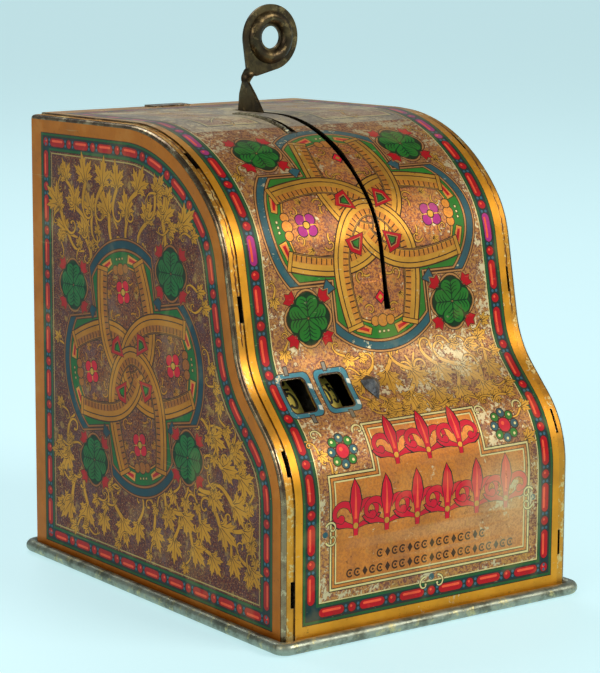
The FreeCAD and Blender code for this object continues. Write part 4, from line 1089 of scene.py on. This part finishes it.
def film(name, body, shapes, surface, material, rows=(), fade_and_glare=None):
    """Lays flat artwork on a surface: surface(u, v) gives a point and its outward direction, in mm."""
    points, edges = [], []
    for outline, _ink in shapes:
        first, count = len(points), len(outline)
        points += [Vector(p) for p in outline]
        edges += [(first + k, first + (k + 1) % count) for k in range(count)]
    for start, end in rows:
        edges.append((len(points), len(points) + 1))
        points += [Vector(start), Vector(end)]
    flat, _edges, cells, _v, _e, _f = delaunay_2d_cdt(points, edges, [], 0, 1e-4, False)
    corners = [(cell[0], cell[k], cell[k + 1]) for cell in cells for k in range(1, len(cell) - 1)]
    tops = topmost(corners, flat, shapes)
    kept = [(cell, shapes[k][1]) for cell, k in zip(corners, tops) if k >= 0 and shapes[k][1] != HOLE]
    used = sorted({k for cell, _ink in kept for k in cell})
    index = {k: n for n, k in enumerate(used)}
    placed = [surface(flat[k][0], flat[k][1]) for k in used]
    count = len(used)
    top = [(p + n * (FILM_LIFT + FILM_THICKNESS)) * MM for p, n in placed]
    low = [(p + n * FILM_LIFT) * MM for p, n in placed]
    cells, inks, borders = [], [], {}
    for cell, ink in kept:
        a, b, c = (index[k] for k in cell)
        normal = (top[b] - top[a]).cross(top[c] - top[a])
        if normal.dot(placed[a][1]) < 0:
            b, c = c, b
        cells.append((a, b, c))
        inks.append(ink)
        for edge in ((a, b), (b, c), (c, a)):
            borders[edge] = ink
    upper = len(cells)
    cells += [(c + count, b + count, a + count) for a, b, c in cells]
    inks += inks[:upper]
    for (a, b), ink in list(borders.items()):
        if (b, a) not in borders:
            cells.append((b, a, a + count, b + count))
            inks.append(ink)
    mesh = bpy.data.meshes.new(name)
    mesh.from_pydata(top + low, [], cells)
    obj = bpy.data.objects.new(name, mesh)
    bpy.context.scene.collection.objects.link(obj)
    ink_layer = mesh.attributes.new("ink", "FLOAT_COLOR", "CORNER")
    finish_layer = mesh.attributes.new("finish", "FLOAT_COLOR", "CORNER")
    palette = {ink: linear(INKS[ink][0]) for ink in set(inks)}
    colours, finishes = [], []
    where = [flat[k] for k in used]
    for cell, ink in zip(cells, inks):
        base = palette[ink]
        metal, stipple, wear = INKS[ink][1:]
        for k in cell:
            colour, worn = base, wear
            if fade_and_glare:
                u, v = where[k % count]
                colour, worn = fade_and_glare(u, v, base, wear)
            colours += [colour[0], colour[1], colour[2], 1.0]
            finishes += [metal, stipple, worn, 1.0]
    ink_layer.data.foreach_set("color", colours)
    finish_layer.data.foreach_set("color", finishes)
    normals = [n for _p, n in placed]
    mesh.polygons.foreach_set("use_smooth", [True] * len(cells))
    mesh.normals_split_custom_set_from_vertices([tuple(n) for n in normals] + [tuple(-n) for n in normals])
    mesh.materials.append(material)
    mesh.update()
    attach(obj, body)
    return obj


def on_side(side):
    def surface(u, v):
        return Vector((side * HALF_WIDTH, u, v)), Vector((side, 0, 0))
    return surface


def on_front(drop=0.0):
    def surface(u, v):
        y, z, heading = on_profile(v)
        ny, nz = outward(heading)
        return Vector((u, y - ny * drop, z - nz * drop)), Vector((0, ny, nz))
    return surface


def on_back(y):
    def surface(u, v):
        return Vector((u, y, v)), Vector((0, 1, 0))
    return surface


def on_drum(start):
    heading = on_profile(WINDOW_PLACE)[2]
    facing = heading + math.pi / 2

    def surface(u, v):
        a = facing - v / DRUM_RADIUS
        out = Vector((0, math.cos(a), math.sin(a)))
        return Vector((start + u, DRUM_AXIS[0], DRUM_AXIS[1])) + out * (DRUM_RADIUS - 0.02), out
    return surface


def rows_across(u0, u1, low, high, step=GRID_STEP):
    count = int((high - low) / step)
    rows = [low + (high - low) * k / count for k in range(1, count)]
    return [((u0, v), (u1, v)) for v in rows]


def front_fade_and_glare(u, v, colour, wear):
    """The print is rubbed and greyed towards the roof and round the label's right end, and paled by a painted
    highlight right of the middle, level with the windows.
    """
    share = min(max((v - FADE_FROM) / (FADE_TO - FADE_FROM), 0.0), 1.0)
    grey = (0.40, 0.36, 0.28)
    colour = [c + (g - c) * 0.38 * share for c, g in zip(colour, grey)]
    extra = 0.25 * share
    label = max(0.0, 1 - math.hypot((u - 30) / 20, (v - 34) / 24))
    colour = [c + (g - c) * 0.55 * label for c, g in zip(colour, (0.62, 0.56, 0.34))]
    # Painted highlight: a pale oval round x 22 mm, 82 mm up the sheet, stands in for glare of the key light
    # on the front; it also adds to the wear there.
    painted_glare = max(0.0, 1 - math.hypot((u - 22) / 26, (v - 82) / 13))
    colour = [c + (g - c) * 0.35 * painted_glare for c, g in zip(colour, (0.66, 0.60, 0.42))]
    return colour, min(1.0, wear + extra + 0.25 * label + 0.3 * painted_glare)


# ---- materials ----

class Shader:
    """Builds one node material."""

    def __init__(self, name):
        self.material = bpy.data.materials.new(name)
        self.material.use_nodes = True
        self.tree = self.material.node_tree
        self.tree.nodes.clear()
        self.out = self.tree.nodes.new("ShaderNodeOutputMaterial")
        self.skin = self.tree.nodes.new("ShaderNodeBsdfPrincipled")
        self.tree.links.new(self.skin.outputs["BSDF"], self.out.inputs["Surface"])
        self.place = self.tree.nodes.new("ShaderNodeTexCoord").outputs["Object"]

    def link(self, value, socket):
        if isinstance(value, bpy.types.NodeSocket):
            self.tree.links.new(value, socket)
        else:
            socket.default_value = value

    def noise(self, scale, detail=4.0, rough=0.55, stretch=None):
        node = self.tree.nodes.new("ShaderNodeTexNoise")
        node.inputs["Scale"].default_value = scale
        node.inputs["Detail"].default_value = detail
        node.inputs["Roughness"].default_value = rough
        where = self.place
        if stretch:
            mapping = self.tree.nodes.new("ShaderNodeMapping")
            mapping.inputs["Scale"].default_value = stretch
            self.link(self.place, mapping.inputs["Vector"])
            where = mapping.outputs["Vector"]
        self.link(where, node.inputs["Vector"])
        return node.outputs["Fac"]

    def attribute(self, name):
        node = self.tree.nodes.new("ShaderNodeAttribute")
        node.attribute_name = name
        return node.outputs["Color"]

    def parts(self, colour):
        node = self.tree.nodes.new("ShaderNodeSeparateColor")
        self.link(colour, node.inputs["Color"])
        return node.outputs["Red"], node.outputs["Green"], node.outputs["Blue"]

    def ramp(self, value, low, high, start=0.0, end=1.0):
        node = self.tree.nodes.new("ShaderNodeMapRange")
        node.interpolation_type = "SMOOTHSTEP"
        for name, setting in (("From Min", low), ("From Max", high), ("To Min", start), ("To Max", end)):
            self.link(setting, node.inputs[name])
        self.link(value, node.inputs["Value"])
        return node.outputs["Result"]

    def sum(self, operation, a, b):
        node = self.tree.nodes.new("ShaderNodeMath")
        node.operation = operation
        self.link(a, node.inputs[0])
        self.link(b, node.inputs[1])
        return node.outputs["Value"]

    def times(self, a, b):
        return self.sum("MULTIPLY", a, b)

    def plus(self, a, b):
        return self.sum("ADD", a, b)

    def mix(self, share, a, b):
        node = self.tree.nodes.new("ShaderNodeMix")
        node.data_type = "RGBA"
        self.link(share, node.inputs["Factor"])
        for value, socket in ((a, node.inputs[6]), (b, node.inputs[7])):
            is_colour = isinstance(value, tuple) and len(value) == 3
            self.link(tuple(linear(value)) + (1.0,) if is_colour else value, socket)
        return node.outputs[2]

    def finish(self, colour, metal, rough, height, depth, coat=0.0, coat_rough=0.15):
        self.link(colour, self.skin.inputs["Base Color"])
        self.link(metal, self.skin.inputs["Metallic"])
        self.link(rough, self.skin.inputs["Roughness"])
        self.skin.inputs["Coat Weight"].default_value = coat
        self.skin.inputs["Coat Roughness"].default_value = coat_rough
        bump = self.tree.nodes.new("ShaderNodeBump")
        bump.inputs["Strength"].default_value = 1.0
        bump.inputs["Distance"].default_value = depth * MM
        self.link(height, bump.inputs["Height"])
        self.link(bump.outputs["Normal"], self.skin.inputs["Normal"])
        return self.material


def litho(name, speck, bare, speck_share):
    """Varnished printed tin: stippled grounds, dark specks, and rubbed places where the tin shows."""
    s = Shader(name)
    ink = s.attribute("ink")
    metal, stipple, wear = s.parts(s.attribute("finish"))
    dots = s.ramp(s.noise(1350, 2.5, 0.65), 0.47, 0.56)
    colour = s.mix(s.times(dots, s.times(stipple, speck_share)), ink, speck)
    flecks = s.ramp(s.noise(1900, 2.0, 0.5), 0.6, 0.66)
    colour = s.mix(s.times(flecks, s.times(stipple, 0.75)), colour, (206, 146, 92))
    mauve = s.times(s.ramp(s.noise(150, 5.0, 0.7), 0.48, 0.66), s.times(stipple, 0.5))
    colour = s.mix(mauve, colour, (96, 70, 78))
    ochre = s.times(s.ramp(s.noise(230, 4.0, 0.65), 0.54, 0.68), s.times(stipple, 0.55))
    colour = s.mix(ochre, colour, (192, 148, 70))
    tone = s.ramp(s.noise(60, 4.0, 0.6), 0.3, 0.75, -0.1, 0.3)
    shade = s.sum("MAXIMUM", tone, 0.0)
    colour = s.mix(shade, colour, (70, 44, 30))
    light = s.sum("MAXIMUM", s.times(tone, -0.8), 0.0)
    colour = s.mix(light, colour, (236, 196, 120))
    grime = s.ramp(s.noise(620, 5.0, 0.7), 0.6, 0.72)
    colour = s.mix(s.times(grime, 0.55), colour, (48, 34, 26))
    broad = s.times(s.noise(95, 6.0, 0.72), 0.62)
    fine = s.times(s.noise(850, 4.0, 0.7), 0.38)
    rub_noise = s.plus(broad, fine)
    edge = s.ramp(wear, 0.0, 1.0, 0.69, 0.515)
    rub = s.ramp(s.sum("SUBTRACT", rub_noise, edge), 0.0, 0.035)
    colour = s.mix(s.times(rub, 0.85), colour, bare)
    scratch = s.ramp(s.noise(240, 3.0, 0.6, (1.0, 0.12, 3.2)), 0.68, 0.72)
    scratch = s.times(scratch, s.ramp(wear, 0.1, 0.9, 0.1, 0.8))
    colour = s.mix(scratch, colour, bare)
    shine = s.sum("MAXIMUM", metal, s.times(rub, 0.75))
    rough = s.ramp(s.noise(210, 5.0, 0.6), 0.25, 0.8, 0.32, 0.5)
    rough = s.plus(rough, s.times(rub, 0.1))
    height = s.plus(s.times(s.noise(140, 3.0, 0.5), 1.0), s.times(rub, -0.25))
    s.skin.inputs["Specular IOR Level"].default_value = 0.12
    return s.finish(colour, shine, rough, height, 0.1, 0.03, 0.2)


def worn_metal(name, base, dark, light, metal, rough, fine=700, depth=0.06, patch=120):
    """Plain metal with stains, bright rubs and fine scratches."""
    s = Shader(name)
    stain = s.ramp(s.noise(patch, 6.0, 0.7), 0.42, 0.62)
    colour = s.mix(stain, base, dark)
    rub = s.ramp(s.noise(patch * 2.3, 5.0, 0.72), 0.53, 0.64)
    colour = s.mix(s.times(rub, 0.7), colour, light)
    grain = s.noise(fine, 4.0, 0.65)
    colour = s.mix(s.ramp(grain, 0.55, 0.72, 0.0, 0.5), colour, dark)
    rough_value = s.ramp(s.noise(patch * 1.6, 5.0, 0.6), 0.3, 0.75, rough - 0.1, rough + 0.14)
    height = s.plus(grain, s.times(s.noise(fine * 2, 2.0, 0.5, (1.0, 0.1, 1.0)), 0.5))
    return s.finish(colour, metal, rough_value, height, depth)


def paper(name):
    """Aged number paper, yellow to olive, with foxing."""
    s = Shader(name)
    ink = s.attribute("ink")
    blot = s.ramp(s.noise(260, 5.0, 0.65), 0.45, 0.7, 0.0, 0.45)
    colour = s.mix(blot, ink, (150, 132, 60))
    spots = s.ramp(s.noise(1500, 3.0, 0.6), 0.64, 0.7, 0.0, 0.6)
    colour = s.mix(spots, colour, (80, 60, 30))
    rough = s.ramp(s.noise(900, 3.0), 0.3, 0.7, 0.55, 0.75)
    return s.finish(colour, 0.0, rough, s.noise(1200, 3.0), 0.03)


def make_materials():
    return {
        "side": litho("side_litho", (52, 26, 40), (190, 160, 104), 0.85),
        "front": litho("front_litho", (96, 48, 56), (206, 190, 150), 0.8),
        "flange": litho("flange_litho", (92, 56, 34), (214, 192, 130), 0.6),
        "paper": paper("number_paper_print"),
        "tin": worn_metal("bare_tin_worn", (158, 140, 112), (92, 76, 62), (222, 212, 186), 0.9, 0.3),
        "fold": worn_metal("folded_edge_tin", (142, 122, 92), (98, 76, 62),
                           (206, 190, 150), 0.95, 0.27, 900, 0.02, 90),
        "base": worn_metal("base_tin_worn", (150, 156, 140), (100, 102, 86),
                           (200, 188, 130), 0.75, 0.38, 800, 0.04, 130),
        "inside": worn_metal("inside_tin", (142, 140, 134), (100, 92, 82), (176, 174, 168), 0.9, 0.42),
        "bronze": worn_metal("lever_bronze_patina", (92, 76, 48), (58, 47, 32),
                             (140, 118, 78), 0.85, 0.36, 900, 0.025, 110),
        "steel": worn_metal("mechanism_steel_plate", (120, 118, 114), (74, 66, 58),
                            (168, 166, 160), 0.95, 0.36),
        "brass": worn_metal("brass_parts_aged", (168, 132, 62), (96, 72, 38), (214, 184, 110), 0.95, 0.32),
        "hood": worn_metal("hood_zinc", (150, 150, 150), (98, 96, 98),
                           (186, 186, 190), 0.9, 0.3, 900, 0.05, 260),
        "lip": worn_metal("coin_lip_tin", (176, 168, 140), (96, 82, 62),
                          (232, 224, 196), 0.85, 0.34, 900, 0.06, 300),
        "drum": worn_metal("drum_tin", (150, 146, 134), (96, 88, 74), (196, 192, 182), 0.9, 0.4),
    }


BRASS = (
    "door_pull", "drum_axle", "axle_collars", "lever_collars", "gate_pin", "feed_pawl_pin", "frame_rivets",
)
STEEL = (
    "lever_shaft", "lever_return_spring", "feed_arm", "feed_pawl", "holding_pawl", "holding_pawl_rod",
    "holding_pawl_spring", "left_mechanism_plate", "right_mechanism_plate", "lever_support_plate",
    "frame_spacers",
    "cents_ratchet_wheel", "dollars_ratchet_wheel", "lock_bolt", "lock_bolt_guides", "door_keeper",
    "door_hinge_pin", "hinge_door_leaf", "hinge_fixed_leaf",
)
OTHER = {
    "left_side_panel": "fold", "right_side_panel": "fold", "front_top_sheet": "fold", "back_panel": "tin",
    "cash_door": "tin", "base_plate": "base", "lever_arm": "bronze", "front_hood": "hood",
    "coin_slot_lip": "lip",
    "cents_drum": "drum", "dollars_drum": "drum", "cents_number_band": "drum", "dollars_number_band": "drum",
}


def dress_nodes(materials):
    for name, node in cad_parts.items():
        kind = "brass" if name in BRASS else "steel" if name in STEEL else OTHER.get(name, "inside")
        node.data.materials.clear()
        node.data.materials.append(materials[kind])


# ---- stage, light, camera ----

FLOOR_COLOUR = (150, 172, 178)
FLOOR_GLOW = (0.56, 0.80, 0.83, 1.0)
FLOOR_GLOW_STRENGTH = 0.81
HORIZON = (0.60, 0.72, 0.76, 1.0)
ZENITH = (0.16, 0.18, 0.20, 1.0)
SKY_STRENGTH = 0.5
# name: (place in metres, size in metres, watts, colour)
SOFTBOXES = {
    "key_softbox": ((0.62, -1.2, 1.0), (0.8, 0.7), 17.0, (1.0, 0.96, 0.88)),
    "left_fill": ((-1.5, -0.5, 0.75), (0.9, 0.8), 8.0, (1.0, 0.95, 0.86)),
    "rear_softbox": ((0.1, 0.9, 1.2), (0.9, 0.6), 7.0, (0.97, 0.99, 1.0)),
}
LIGHT_TARGET = (0.0, 0.0, 0.08)
FOCAL_LENGTH = 131.98
SENSOR_WIDTH = 36.0
CAMERA_AT = Vector((-470.606, -641.842, 223.001))
CAMERA_AZIMUTH = -36.13
CAMERA_ELEVATION = 10.0
CAMERA_ROLL = 0.22
CAMERA_SHIFT = (0.0155, -0.0151)


def make_floor():
    mesh = bpy.data.meshes.new("studio_floor")
    reach = 9.0
    corners = [(-reach, -reach, 0), (reach, -reach, 0), (reach, reach, 0), (-reach, reach, 0)]
    mesh.from_pydata(corners, [], [(0, 1, 2, 3)])
    floor = bpy.data.objects.new("studio_floor", mesh)
    floor.location.z = -0.0002
    bpy.context.scene.collection.objects.link(floor)
    s = Shader("studio_sweep")
    colour = s.mix(s.ramp(s.noise(1.2, 2.0), 0.3, 0.7, 0.0, 0.25), FLOOR_COLOUR, (142, 168, 176))
    s.skin.inputs["Emission Color"].default_value = FLOOR_GLOW
    s.skin.inputs["Emission Strength"].default_value = FLOOR_GLOW_STRENGTH
    mesh.materials.append(s.finish(colour, 0.0, 0.6, s.noise(40, 2.0), 0.02))


def add_light(name, at, size, power, colour):
    data = bpy.data.lights.new(name, "AREA")
    data.shape = "RECTANGLE"
    data.size, data.size_y = size
    data.energy = power
    data.color = colour
    lamp = bpy.data.objects.new(name, data)
    lamp.location = at
    aim = Vector(LIGHT_TARGET) - Vector(at)
    lamp.rotation_mode = "QUATERNION"
    lamp.rotation_quaternion = aim.to_track_quat("-Z", "Y")
    bpy.context.scene.collection.objects.link(lamp)


def make_light():
    world = bpy.data.worlds.new("studio_world")
    world.use_nodes = True
    tree = world.node_tree
    back = tree.nodes["Background"]
    where = tree.nodes.new("ShaderNodeTexCoord")
    split = tree.nodes.new("ShaderNodeSeparateXYZ")
    ramp = tree.nodes.new("ShaderNodeValToRGB")
    ramp.color_ramp.elements[0].position = 0.0
    ramp.color_ramp.elements[0].color = HORIZON
    ramp.color_ramp.elements[1].position = 0.9
    ramp.color_ramp.elements[1].color = ZENITH
    tree.links.new(where.outputs["Generated"], split.inputs["Vector"])
    tree.links.new(split.outputs["Z"], ramp.inputs["Fac"])
    tree.links.new(ramp.outputs["Color"], back.inputs["Color"])
    back.inputs["Strength"].default_value = SKY_STRENGTH
    bpy.context.scene.world = world
    bpy.context.scene.view_settings.view_transform = "Standard"
    for name, (at, size, power, colour) in SOFTBOXES.items():
        add_light(name, at, size, power, colour)


def make_camera():
    a, e, r = (math.radians(x) for x in (CAMERA_AZIMUTH, CAMERA_ELEVATION, CAMERA_ROLL))
    back = Vector((math.sin(a) * math.cos(e), -math.cos(a) * math.cos(e), math.sin(e)))
    right = (-back).cross(Vector((0, 0, 1))).normalized()
    up = right.cross(-back)
    level_right = right * math.cos(r) + up * math.sin(r)
    level_up = up * math.cos(r) - right * math.sin(r)
    data = bpy.data.cameras.new("photo_camera")
    data.lens = FOCAL_LENGTH
    data.sensor_width = SENSOR_WIDTH
    data.shift_x, data.shift_y = CAMERA_SHIFT
    data.clip_start, data.clip_end = 0.05, 60.0
    camera = bpy.data.objects.new("photo_camera", data)
    turn = Matrix((level_right, level_up, back)).transposed().to_4x4()
    camera.matrix_world = Matrix.Translation(CAMERA_AT * MM) @ turn
    bpy.context.scene.collection.objects.link(camera)
    bpy.context.scene.camera = camera


def main():
    materials = make_materials()
    dress_nodes(materials)
    art = side_art()
    for height, low, high in SIDE_PRINTS:
        part = [(side_part(low, high), "amber")]
        part += [shape for shape in art if touches(shape[0], low, high)]
        for name, side in (("left_side", -1), ("right_side", 1)):
            film(f"{name}_{height}_print", "case", part, on_side(side), materials["side"])
    front = front_art()
    for name, low, high in FRONT_PRINTS:
        part = [(box(-SEAM_X + 0.1, low, SEAM_X - 0.1, high), "amber")]
        part += [shape for shape in front if touches(shape[0], low, high)]
        rows = rows_across(-SEAM_X, SEAM_X, low, high)
        film(name, "case", part, on_front(), materials["front"], rows, front_fade_and_glare)
    for side, name in ((-1, "left_flange_print"), (1, "right_flange_print")):
        rows = rows_across(side * SEAM_X, side * HALF_WIDTH, FOOT_Z, SHEET_LENGTH, FLANGE_ROW_STEP)
        film(name, "case", flange_art(side), on_front(SEAM_DROP), materials["flange"], rows)
    film("back_print", "case", back_art(), on_back(HALF_DEPTH), materials["side"])
    film("door_print", "cash_door", door_art(), on_back(DOOR_FACE_Y), materials["side"])
    turn = math.pi * DRUM_RADIUS
    rows = rows_across(0, DRUM_WIDTH, -turn, turn, BAND_ROW_STEP)
    dollars = [str((FIRST_DOLLARS + k) % DRUM_STEPS) for k in range(DRUM_STEPS)]
    cents = [f"{(FIRST_CENTS + CENTS_STEP * k) % 100:02d}" for k in range(DRUM_STEPS)]
    bands = (
        ("dollars", DRUM_STARTS[0], band_art(dollars, DOLLARS_WIDTH)),
        ("cents", DRUM_STARTS[1], band_art(cents, CENTS_WIDTH)),
    )
    for name, start, band in bands:
        surface = on_drum(start)
        film(f"{name}_numerals", f"{name}_drum", band, surface, materials["paper"], rows)
    make_floor()
    make_light()
    make_camera()


main()
